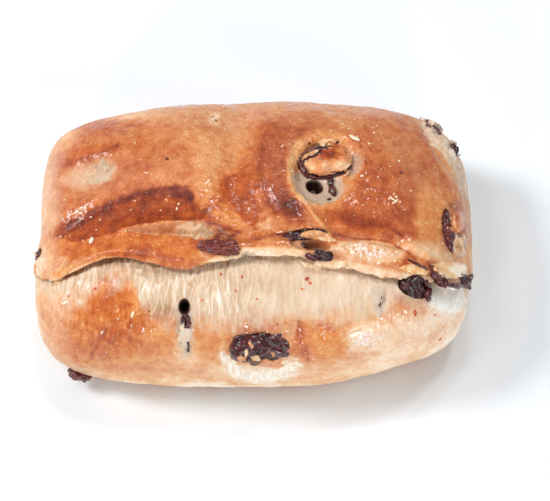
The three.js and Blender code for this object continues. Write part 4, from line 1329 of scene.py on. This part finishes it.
# What sets single raisins apart: moved in millimetres, made smaller, boxier or redder
NUDGED = {"corner": np.array([0.0, -1.0, -0.5]), "crater": np.array([-0.2, 0.9, 0.0])}
SMALLER = {"crater": 0.97}
BOXY = {"front": 2.6, "seam": 2.6}
RIPE = {"seam": 0.9, "lip_a": 0.6, "front": 0.35, "side": 0.7, "corner": 0.7, "under_lip": 0.1}
BIG = 6    # a raisin longer than this has more points and coarser wrinkles
shown = [(crust_points, crust_faces), (crown_points, crown_faces), (torn, crumb_faces)]
for order, (name, row) in enumerate(RAISINS.items()):
    big = max(row["size"]) > BIG
    sphere, faces = ball(120, 84) if big else ball(64, 44)
    boxy = BOXY.get(name, 2.2)
    sphere = sphere / (np.abs(sphere) ** boxy).sum(1, keepdims=True) ** (1 / boxy)
    a, b, c = sphere.T
    length, width, thick = row["size"]
    turn_round = np.arctan2(c, b)
    fold = 1 - FOLD_DEPTH * np.abs(np.sin(RAISIN_FOLDS * turn_round + 1.4 * a)) * (1 - a * a)
    narrow = 1 - row.get("taper", 0) * a
    local = np.stack([a * length / 2, b * width / 2 * fold * narrow + row.get("bend", 0) * (a * a - 0.35),
                      c * thick / 2 * fold * narrow], 1)
    cell = (0.21 if big else 0.17) * math.sqrt(width * thick) + 0.38
    warp = np.stack([noise(local, cell, seed + order) for seed in (50, 70, 90)], 1)
    stretched = local + 0.35 * cell * warp
    wrinkle = np.abs(noise(stretched, (cell * 1.6, cell, cell), 110 + order))
    wrinkle_fine = np.abs(noise(stretched, (cell * 0.8, cell * 0.5, cell * 0.5), 130 + order))
    deep = 0.42 * cell * (1 - smooth_step(0, 0.5, wrinkle))
    deep = deep + 0.05 * cell * (1 - smooth_step(0, 0.4, wrinkle_fine))
    deep += 0.2 * cell * noise(local, cell * 1.8, 150 + order) - 0.1 * cell
    local = (local - unit(local / np.array([length, width, thick])) * deep[:, None]) * SMALLER.get(name, 1)
    axes, centre = FRAMES[name]
    points = within_box(centre + NUDGED.get(name, 0) + local @ axes.T)
    ripe = {"ripe": np.full(len(points), RIPE.get(name, 0.3))}
    raisin = build("raisin_" + name, points, faces, ripe)
    raisin.data.materials.append(raisin_skin)
    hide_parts("raisin_" + name)
    shown.append((points, faces))


# Small things, placed where the photograph shows them
def one_mesh(parts):
    """Points and faces of several meshes as one."""
    starts = np.cumsum([0] + [len(points) for points, _ in parts[:-1]])
    return (np.concatenate([points for points, _ in parts]),
            np.concatenate([faces + start for (_, faces), start in zip(parts, starts)]))


ROLL_MIDDLE, SEEN_TRIES, SEEN_STEP = (260, 245), 30, 0.008
tree_points, tree_faces = one_mesh(shown)
bun_tree = BVHTree.FromPolygons(tree_points.tolist(), tree_faces.tolist())


def seen_at(px, py):
    """The point and normal that show at a pixel, or at the nearest pixel towards the roll's middle."""
    for _ in range(SEEN_TRIES):
        point, normal, _, _ = bun_tree.ray_cast(EYE.tolist(), pixel_ray(px, py).tolist())
        if point is not None:
            return np.array(point), np.array(normal)
        px, py = px + (ROLL_MIDDLE[0] - px) * SEEN_STEP, py + (ROLL_MIDDLE[1] - py) * SEEN_STEP
    raise ValueError("no crust near that pixel")


class Heap:
    """Small meshes of one kind, built as one piece."""

    def __init__(self, name, material, slot="crust"):
        self.name, self.material, self.slot = name, material, slot
        self.parts, self.tones = [], []

    def add(self, points, faces, **tones):
        self.parts.append((within_box(points), faces))
        self.tones.append({key: np.broadcast_to(value, len(points)) for key, value in tones.items()})

    def build(self):
        points, faces = one_mesh(self.parts)
        tones = {key: np.concatenate([part[key] for part in self.tones]) for key in self.tones[0]}
        build(self.name, points, faces, tones).data.materials.append(self.material)


def patch_grid(low, high, passes):
    """Points of the shown surface on a grid between two pixels, smoothed, with normals, faces and shape."""
    middle, half = (low + high) / 2, (high - low) / 2
    u, v = np.meshgrid(*(np.linspace(-1, 1, int(2 * reach / PATCH_SPACING) + 2) for reach in half),
                       indexing="ij")
    points = np.zeros(u.shape + (3,))
    for i, j in np.ndindex(u.shape):
        points[i, j] = seen_at(middle[0] + u[i, j] * half[0], middle[1] + v[i, j] * half[1])[0]
    for _ in range(passes):
        padded = np.pad(points, ((1, 1), (1, 1), (0, 0)), mode="edge")
        beside = padded[:-2, 1:-1] + padded[2:, 1:-1] + padded[1:-1, :-2] + padded[1:-1, 2:]
        points = (beside + 2 * points) / 6
    points = points.reshape(-1, 3)
    faces, normals = facing_grid(points, u.shape, -pixel_ray(*middle))
    return points, normals, faces, u.shape


PATCH_SPACING, FLAP_BORDER, FLAP_DEPTH = 0.62, 2.5, 0.9
FLAP_MOTTLE = {"bake": 0.16, "warm": 0.3, "stain": 0.3, "ash": 0.4, "crumb": 0.2, "shade": 0.3}


def flap(outline, raised, seed, edge=0.9, ragged=1.0, cell=1.5, passes=3, spots=(), **tones):
    """A thin flap of dough over what shows inside an outline of pixels. Spots change its tones in places."""
    low, high = np.min(outline, axis=0) - FLAP_BORDER, np.max(outline, axis=0) + FLAP_BORDER
    points, normals, faces, shape = patch_grid(low, high, passes)
    px, py = photo_pixels(points)
    deep = inside_by(px, py, outline)
    torn_edge = bumps(points, ((1.3 * ragged, 1.8, seed), (0.7, 0.6, seed + 5)), deep)
    mask = smooth_step(-edge, edge, torn_edge)
    lumps = bumps(points, ((0.25, cell * 1.4, seed + 1), (0.08, cell * 0.5, seed + 2)))
    height = raised * mask * (0.5 + 0.35 * smooth_step(0, 6, deep) + lumps) - 0.5 * (1 - mask)
    own = {**crust_tones(points, normals), "stain": 0.0, "crumb": 0.0, "ash": 0.0, "hole_shade": 0.0, "shade": 0.5}
    own = {key: np.broadcast_to(value, len(points)) for key, value in {**own, **tones}.items()}
    for *spot, changed in spots:
        w = spot_weight(px + 3 * noise(points, 1, seed + 3), py, spot, CRISP_EDGE)
        own = {key: value + (changed.get(key, value) - value) * w for key, value in own.items()}
    speck = layered(points, cell * 0.6, 2, seed + 4)
    own = {key: np.clip(value + FLAP_MOTTLE.get(key, 0) * speck * (value > 0.01), 0, 1)
           for key, value in own.items()}
    mesh = closed_sheet(points + normals * height[:, None], points - normals * FLAP_DEPTH, faces, shape)
    scraps.add(*mesh, **{key: np.tile(value, 2) for key, value in own.items()})


STRAND_ROUNDS, STRAND_STEP = 20, 0.16


def strand_mesh(line, radius, seed):
    """A wrinkled strand that lies along pixels of the photograph."""
    knots = [seen_at(px, py) for px, py in line]
    path = np.array([point + normal * radius * 0.25 for point, normal in knots])
    ups = np.array([normal for _, normal in knots])
    steps = np.concatenate([[0], np.cumsum(np.linalg.norm(np.diff(path, axis=0), axis=1))])
    count = max(12, int(steps[-1] / STRAND_STEP))
    where = np.linspace(0, steps[-1], count)
    middle = np.stack([np.interp(where, steps, path[:, k]) for k in range(3)], 1)
    up = unit(np.stack([np.interp(where, steps, ups[:, k]) for k in range(3)], 1))
    ahead = unit(np.gradient(middle, axis=0))
    side = unit(np.cross(ahead, up))
    up = np.cross(side, ahead)
    angle = np.arange(STRAND_ROUNDS) * 2 * math.pi / STRAND_ROUNDS
    share = where / steps[-1]
    pointed = np.sqrt(np.clip(1 - (2 * share - 1) ** 6, 0.004, 1))
    thick = radius * pointed * (1 + 0.45 * noise(middle, 2.0, seed + 7))
    ring = middle[:, None] + thick[:, None, None] * (np.cos(angle)[None, :, None] * side[:, None]
                                                     + np.sin(angle)[None, :, None] * up[:, None])
    points = ring.reshape(-1, 3)
    out = unit(points - np.repeat(middle, STRAND_ROUNDS, axis=0))
    lump = bumps(points, ((0.35, 1.5, seed), (0.22, 0.7, seed + 1)))
    points = points + out * (np.repeat(thick, STRAND_ROUNDS) * lump)[:, None]
    faces = np.roll(tube_faces(STRAND_ROUNDS, count)[:, ::-1], 1, axis=1)
    return np.concatenate([points, middle[:1], middle[-1:]]), faces


scraps = Heap("dough_scraps", crust.data.materials[0])
# Flaps of dough: their outline in pixels, height in millimetres and noise seed, then their tones
FLAPS = (
    # crust baked over the crater's raisin
    dict(outline=((303, 163), (309, 158), (317, 155), (321, 150), (329, 146), (337, 143), (344, 145),
                  (352, 154), (353, 160), (350, 167), (345, 171), (337, 173), (328, 175), (319, 176),
                  (311, 174), (304, 170)), raised=0.4, seed=201, cell=5.0, passes=14, bake=0.35, warm=0.3,
         glaze=0.35, ragged=1.5, spots=((331, 153, 14, 7, -14, {"bake": 0.8, "warm": 0.9}),
         (319, 152, 4, 3, 0, {"bake": 0.78, "warm": 0.6}), (321, 159, 4, 1.5, 0, {"stain": 0.6}),
         (314, 166, 8, 4, 0, {"bake": 0.27, "warm": 0.6}), (307, 169, 3, 3, 0, {"stain": 0.7}),
         (329, 169, 2, 3, 0, {"stain": 0.4}), (341, 166, 7, 5, 0, {"bake": 0.22, "warm": 0.5}),
         (345, 148, 1.5, 4, -10, {"stain": 0.5}), (342, 150, 6, 4, 0, {"bake": 0.42}))),
    dict(outline=((318, 142), (323, 139), (332, 139), (337, 141), (334, 145), (326, 146), (320, 146)),
         raised=1.0, seed=206, bake=0.2, warm=0.7, glaze=0.7,
         spots=((329, 143, 3, 2, 0, {"bake": 0.45, "warm": 1.0}),)),
    dict(outline=((296, 163), (299, 156), (306, 149), (313, 145), (320, 142), (321, 146), (313, 150),
                  (306, 155), (300, 164)), raised=0.75, seed=229, bake=0.5, warm=0.2, glaze=0.5,
         stain=0.78, ash=0.3, passes=5, cell=1.6),
    dict(outline=((301, 159), (307, 153), (315, 149), (321, 149), (315, 154), (307, 157), (302, 161)),
         raised=0.5, seed=208, bake=0.3, warm=0.3, glaze=0.6, stain=0.12, passes=8),
    # crust that closes over the crack, and the lip's edge below the raisins under it
    dict(outline=((304, 231), (316, 229), (328, 233), (339, 241), (330, 243), (318, 240), (306, 239),
                  (298, 236)), raised=0.35, seed=211, edge=1.6, passes=6, bake=0.33, warm=0.6, glaze=0.7,
         spots=((326, 240, 10, 2, 10, {"bake": 0.2}),)),
    dict(outline=((250, 230), (270, 230), (290, 226), (304, 223), (318, 228), (312, 229), (300, 230),
                  (284, 233), (268, 235), (252, 236)), raised=0.4, seed=216, bake=0.5, warm=0.8,
         glaze=1.0),
    dict(outline=((296, 256), (302, 261), (312, 264), (322, 265), (334, 264), (346, 260), (349, 265),
                  (336, 269), (318, 269), (304, 267)), raised=0.6, seed=221, bake=0.1, warm=0.6, glaze=0.6,
         ragged=1.6),
    # the raisin at the side: a browned lump over its top, and a thin veil of dough over its foot
    dict(outline=((452, 214), (457, 210), (462, 212), (465, 218), (465, 227), (461, 233), (455, 234),
                  (451, 229), (450, 221)), raised=0.8, seed=226, edge=3.6, ragged=0.6, cell=2.4, passes=6,
         bake=0.5, warm=0.6, glaze=1.0, spots=((467, 230, 3, 4, 0, {"bake": 0.1}),
         (453, 226, 2, 3, 0, {"bake": 0.25}), (460, 215, 5, 3, 0, {"bake": 0.55}))),
    dict(outline=((453, 236), (460, 233), (466, 232), (469, 240), (468, 252), (464, 260), (457, 259),
                  (453, 249)), raised=0.3, seed=231, edge=4.0, cell=2.6, passes=8, ragged=1.8, bake=0.22,
         warm=0.7, stain=0.12, glaze=1.0, spots=((466, 247, 4, 9, 0, {"stain": 0.6, "ash": 0.15}),
         (460, 236, 5, 1.5, -10, {"stain": 0.75}), (460, 258, 6, 2.5, 0, {"stain": 0.4, "ash": 0.3}),
         (469, 229, 2, 4, 0, {"bake": 0.0}))),
    # the lip's end at the right
    dict(outline=((392, 268), (404, 264), (412, 263), (424, 267), (431, 272), (428, 276), (416, 275),
                  (404, 272)), raised=0.25, seed=236, edge=3.4, cell=3.0, passes=6, bake=0.22, warm=0.8,
         glaze=1.0, ragged=1.5),
    dict(outline=((430, 263), (444, 260), (458, 261), (466, 263), (469, 269), (466, 276), (456, 280),
                  (444, 278), (434, 272)), raised=0.35, seed=241, edge=3.6, cell=3.0, passes=6, bake=0.18,
         warm=0.8, glaze=1.0, spots=((440, 266, 8, 5, 10, {"bake": 0.28}),
         (460, 270, 10, 6, 0, {"bake": 0.0}))),
    # the lip's left end
    dict(outline=((36, 258), (40, 255), (45, 257), (47, 264), (44, 271), (40, 272), (36, 267)), raised=0.5,
         seed=271, edge=3.0, cell=2.5, passes=6, bake=0.2, warm=0.5, glaze=1.0),
    dict(outline=((50, 270), (58, 266), (68, 266), (76, 262), (70, 272), (64, 280), (56, 285), (50, 280)),
         raised=0.4, seed=276, edge=2.6, passes=6, ragged=2.0, bake=0.36, warm=0.9, glaze=0.6,
         spots=((58, 280, 6, 4, 0, {"bake": 0.16}),)),
    # dough torn round the front raisin
    dict(outline=((248, 361), (254, 359), (264, 360), (274, 359), (283, 358), (287, 363), (280, 368),
                  (266, 369), (254, 366)), raised=0.35, seed=246, edge=1.4, bake=0.42, warm=0.8, glaze=0.7,
         ragged=2.2, spots=((284, 361, 3, 3, 0, {"bake": 0.04, "warm": 0.3}),
         (266, 368, 12, 1.5, 0, {"bake": 0.08}), (262, 363, 4, 2, 0, {"bake": 0.55}))),
    dict(outline=((250, 358), (253, 355), (259, 356), (261, 360), (255, 362)), raised=0.5, seed=249,
         bake=0.16, warm=0.5, glaze=0.6),
    dict(outline=((235, 357), (241, 355), (247, 358), (246, 362), (240, 363)), raised=0.25, seed=215,
         bake=0.4, warm=0.9, glaze=0.7, ragged=1.5),
    dict(outline=((244, 351), (247, 349), (249, 352), (247, 358), (244, 357)), raised=0.35, seed=218,
         bake=0.18, warm=0.6, glaze=0.7),
    dict(outline=((247, 342), (250, 341), (254, 346), (252, 349), (249, 346)), raised=0.3, seed=219,
         bake=0.34, warm=0.3, glaze=0.8),
    dict(outline=((271, 353), (274, 352), (276, 356), (272, 358)), raised=0.3, seed=223, bake=0.4,
         warm=1.0, glaze=0.8),
    # dough dragged over the shoulder's raisins and the slit
    dict(outline=((422, 121), (429, 122), (436, 128), (440, 135), (436, 137), (429, 131)), raised=0.35,
         seed=251, cell=2.4, passes=6, bake=0.16, warm=0.2, crumb=0.3, shade=0.9, glaze=0.8, ragged=1.4,
         spots=((428, 125, 4, 2.5, 20, {"stain": 0.95}), (436, 132, 3, 5, -30, {"stain": 0.8}),
         (440, 128, 3, 3, 0, {"ash": 0.5}))),
    dict(outline=((443, 142), (449, 144), (454, 150), (457, 159), (454, 163), (448, 152)), raised=0.35,
         seed=256, cell=2.4, passes=6, bake=0.13, warm=0.2, crumb=0.3, shade=0.9, glaze=0.8, ragged=1.4,
         spots=((456, 149, 2, 4, 0, {"stain": 0.85}), (449, 147, 3, 2, 40, {"stain": 0.7}),
         (454, 158, 3, 5, 0, {"ash": 0.4}))),
    dict(outline=((179, 324), (184, 321), (188, 325), (193, 330), (191, 340), (188, 350), (181, 349),
                  (177, 341)), raised=0.2, seed=281, edge=3.2, cell=1.6, passes=5, bake=0.2, warm=0.3,
         crumb=0.8, shade=0.7, ash=0.2, ragged=1.8, spots=((186, 334, 5, 3, 0, {"ash": 0.6}),
         (180, 343, 1.5, 1.5, 0, {"stain": 0.5}), (190, 328, 3, 3, 0, {"shade": 1.0}))),
)
for row in FLAPS:
    flap(**row)
scraps.build()

strands = Heap("raisin_strands", raisin_skin, "raisin")
# Strands of raisin skin: half thickness in millimetres, then pixels along the strand
STRANDS = (
    (1.0, ((431, 273), (435, 278), (440, 282))),
    (0.6, ((437, 280), (446, 285), (455, 286), (463, 285), (469, 280), (472, 274))),
    (0.3, ((407, 259), (416, 264), (428, 270))),
    (0.9, ((425, 280), (428, 288), (427, 296), (428, 302))),
    (0.85, ((331, 179), (331, 186), (333, 192), (335, 197))),
    (0.75, ((299, 163), (301, 168), (305, 174), (309, 178))),
    (0.42, ((309, 178), (318, 178), (328, 177), (338, 175), (346, 173))),
    (0.4, ((327, 200), (331, 199))),
    (0.13, ((302, 161), (309, 157), (318, 154))),
    (0.35, ((335, 142), (339, 142))),
    (0.35, ((308, 143), (310, 144))),
    (0.6, ((305, 254), (311, 257), (317, 260))),
    (0.28, ((188, 341), (189, 347), (188, 352))),
    (0.5, ((183, 314), (187, 316), (189, 320))),
    (0.45, ((190, 321), (188, 326), (184, 327))),
    (0.16, ((382, 296), (379, 307))),
    (0.45, ((426, 125), (431, 128))),
    (0.45, ((436, 131), (441, 135))),
    (0.45, ((456, 146), (460, 152))),
    (0.55, ((444, 215), (448, 211))),
)
for order, (radius, line) in enumerate(STRANDS):
    strands.add(*strand_mesh(line, radius, 301 + 2 * order), ripe=0.45)
strands.build()

# Crumbs and flecks: x and y in pixels, then size in millimetres
PALE_CRUMBS = (
    (65, 200, 0.6), (179, 204, 0.7), (177, 209, 0.8), (135, 201, 0.5), (131, 210, 0.5), (91, 217, 0.6),
    (100, 220, 0.5), (126, 231, 0.5), (92, 241, 1.5), (61, 237, 0.7), (135, 143, 0.7), (214, 119, 0.8),
    (399, 161, 0.6), (366, 173, 0.5), (378, 177, 0.5), (369, 144, 0.6), (374, 133, 0.6), (389, 199, 0.7),
    (393, 203, 0.8), (396, 197, 0.8), (400, 202, 0.7), (394, 194, 0.5), (70, 236, 0.5), (350, 151, 0.6),
    (357, 160, 0.5), (362, 176, 0.8), (358, 173, 0.6), (300, 200, 0.5), (293, 199, 0.7), (306, 204, 0.6),
    (331, 131, 0.5), (349, 129, 0.5), (282, 147, 0.5), (292, 171, 0.5),
)
# Pale flakes, from one pixel to another; those from (62, 304) and (134, 311) are painted highlights standing
# for small glints, the rest are pale flakes
FLAKES_AND_GLINTS = (
    (348, 134, 359, 141), (134, 311, 131, 318), (62, 304, 68, 301), (287, 374, 294, 372),
    (389, 196, 395, 201), (393, 204, 398, 199),
)
DARK_FLECKS = (
    (167, 159, 0.9), (401, 173, 0.9), (117, 146, 0.6), (277, 324, 0.5), (216, 121, 0.7), (149, 311, 0.5),
    (378, 250, 0.4), (213, 117, 0.6),
)
RED_FLECKS = (
    (228, 264, 0.8), (221, 274, 0.8), (257, 299, 0.6), (242, 277, 0.7), (236, 291, 0.7), (302, 289, 0.7),
    (307, 279, 1.1), (310, 283, 0.9), (415, 313, 1.3), (435, 315, 0.7), (440, 339, 0.9), (68, 296, 0.5),
    (95, 289, 0.8), (61, 321, 0.5), (202, 300, 0.6),
)
dice = np.random.default_rng(11)
pebble, pebble_faces = ball(10, 7)


def bit(place, normal, size, flat, seed, lengthwise=None, narrow=0.75):
    """An irregular crumb that lies on the crust."""
    ahead = lengthwise if lengthwise is not None else np.cross(normal, dice.normal(size=3))
    ahead = unit(ahead - normal * (ahead @ normal))
    side = np.cross(normal, ahead)
    shape = pebble * (1 + 0.45 * noise(pebble, 0.9, seed)[:, None]) * size / 2
    shape = shape * np.array([1.0, narrow, flat])
    return place + normal * size * flat * 0.25 + shape @ np.stack([ahead, side, normal])


def sprinkle(heap, places, flat, darkest):
    """Crumbs or flecks of one kind at rows of pixels and sizes, each as dark as the dice say."""
    for px, py, size in places:
        point, normal = seen_at(px, py)
        crumb = bit(point, normal, size, flat, dice.integers(1000))
        heap.add(crumb, pebble_faces, dark=dice.uniform(0, darkest))


def speck_material(name, stops, roughness):
    m = Nodes(name)
    fine = m.speckle(1600, 3, 0.6)
    colour = m.ramp(m.sum(m.tone("dark"), m.scaled(fine, 0.5, -0.25), clamp=True), *stops)
    m.relief(fine, 0.0001, 0.6)
    return m.finish(Base_Color=colour, Roughness=roughness, Coat_Weight=0.3, Coat_Roughness=0.15)


pale_crumbs = Heap("pale_crumbs", speck_material("pale_crumb", PALE_STOPS, 0.45))
flecks = Heap("flecks", speck_material("fleck", FLECK_STOPS, 0.5))
sprinkle(pale_crumbs, PALE_CRUMBS, 0.7, 0.6)
for ax, ay, bx, by in FLAKES_AND_GLINTS:
    start, normal = seen_at(ax, ay)
    lengthwise = seen_at(bx, by)[0] - start
    size = np.linalg.norm(lengthwise)
    pale_sliver = bit(start + lengthwise / 2, normal, size, 0.1, dice.integers(1000), lengthwise, 0.3)
    pale_crumbs.add(pale_sliver, pebble_faces, dark=0.1)
for px, py, size in DARK_FLECKS:
    point, normal = seen_at(px, py)
    flecks.add(bit(point, normal, size, 0.4, dice.integers(1000)), pebble_faces, dark=0.9)
sprinkle(flecks, RED_FLECKS, 0.35, 0.45)
body_bare = (crust_points[:, 2] > 6) & (share < 0.2) & (covered(crust_points) < 0.05)
# Fine crumbs all over: points and normals of a skin, where it is bare crust, and how many crumbs it takes
skins = (
    (crust_points, crust_normals, body_bare, 70),
    (crown_points, crown_normals, crown_tone["crumb"] < 0.2, 330),
    (torn, crumb_normals, (share_torn < 0.3) & (flat_across < -0.05), 120),
)
for skin_points, skin_normals, bare, count in skins:
    for pick in dice.choice(np.flatnonzero(bare), count, replace=False):
        size = 0.18 + 0.3 * dice.uniform() ** 3
        grain_points = bit(skin_points[pick], skin_normals[pick], size, 0.7, dice.integers(1000))
        pale_crumbs.add(grain_points, pebble_faces, dark=dice.uniform(0, 0.5))
pale_crumbs.build()
flecks.build()

# Floor, light and the photograph's camera
floor_mesh = bpy.data.meshes.new("floor")
floor_mesh.from_pydata([(-3, -3, 0), (3, -3, 0), (3, 3, 0), (-3, 3, 0)], [], [(0, 1, 2, 3)])
floor = bpy.data.objects.new("floor", floor_mesh)
bpy.context.scene.collection.objects.link(floor)
white = Nodes("floor")
grey = white.ramp(white.speckle(3, 2), *FLOOR_STOPS)
floor_mesh.materials.append(white.finish(Base_Color=grey, Roughness=0.95))

world = bpy.data.worlds.new("studio")
world.use_nodes = True
world.node_tree.nodes["Background"].inputs["Color"].default_value = (1, 1, 1, 1)
world.node_tree.nodes["Background"].inputs["Strength"].default_value = 0.265
bpy.context.scene.world = world


def look_angles(direction):
    """Turn angles that point an object's -Z along a direction, with its X level."""
    flat = math.hypot(direction[0], direction[1])
    return (math.atan2(flat, -direction[2]), 0, math.atan2(-direction[0], direction[1]))


def softbox(name, place, size, power):
    light = bpy.data.lights.new(name, "AREA")
    light.shape = "RECTANGLE"
    light.size, light.size_y = size
    light.energy = power
    lamp = bpy.data.objects.new(name, light)
    bpy.context.scene.collection.objects.link(lamp)
    lamp.location = place
    lamp.rotation_euler = look_angles(LIGHTS_AIM - np.array(place))


LIGHTS_AIM = np.array([0, 0, 0.02])
# Softboxes: place and size in metres, power in watts
LIGHTS = {
    "key": ((-0.75, 0.1, 0.85), (0.26, 0.22), 5.9),
    "over": ((-0.42, -0.08, 1.1), (0.3, 0.3), 1.8),
    "ridge": ((-0.86, 0.12, 0.66), (0.17, 0.15), 1.5),
    "top": ((0.05, 0.42, 1.08), (0.14, 0.12), 1.7),
    "high": ((0.3, 0.34, 0.98), (0.14, 0.12), 1.9),
    "front": ((0.3, -1.06, 0.26), (0.18, 0.12), 3.1),
    "right": ((0.95, -0.4, 0.4), (0.14, 0.12), 1.2),
    "window": ((-0.4, -0.9, 0.5), (0.1, 0.1), 1.0),
    "low": ((0.5, -0.75, 0.5), (0.08, 0.08), 0.9),
}
for name, row in LIGHTS.items():
    softbox(name, *row)

camera_data = bpy.data.cameras.new("photo")
camera_data.sensor_fit = "HORIZONTAL"
camera_data.sensor_width = 36
camera_data.lens = 36 * PIXELS_AT_ONE / PHOTO_WIDTH
camera_data.clip_start, camera_data.clip_end = 0.02, 20
camera = bpy.data.objects.new("photo", camera_data)
bpy.context.scene.collection.objects.link(camera)
aim = (AIM + SHIFT) / 1000
camera.location = aim + VIEW_DISTANCE / 1000 * VIEW_BACK
camera.rotation_euler = (math.pi / 2 - VIEW_ELEVATION, 0, 0)
bpy.context.scene.camera = camera
bpy.context.scene.view_settings.view_transform = "Standard"
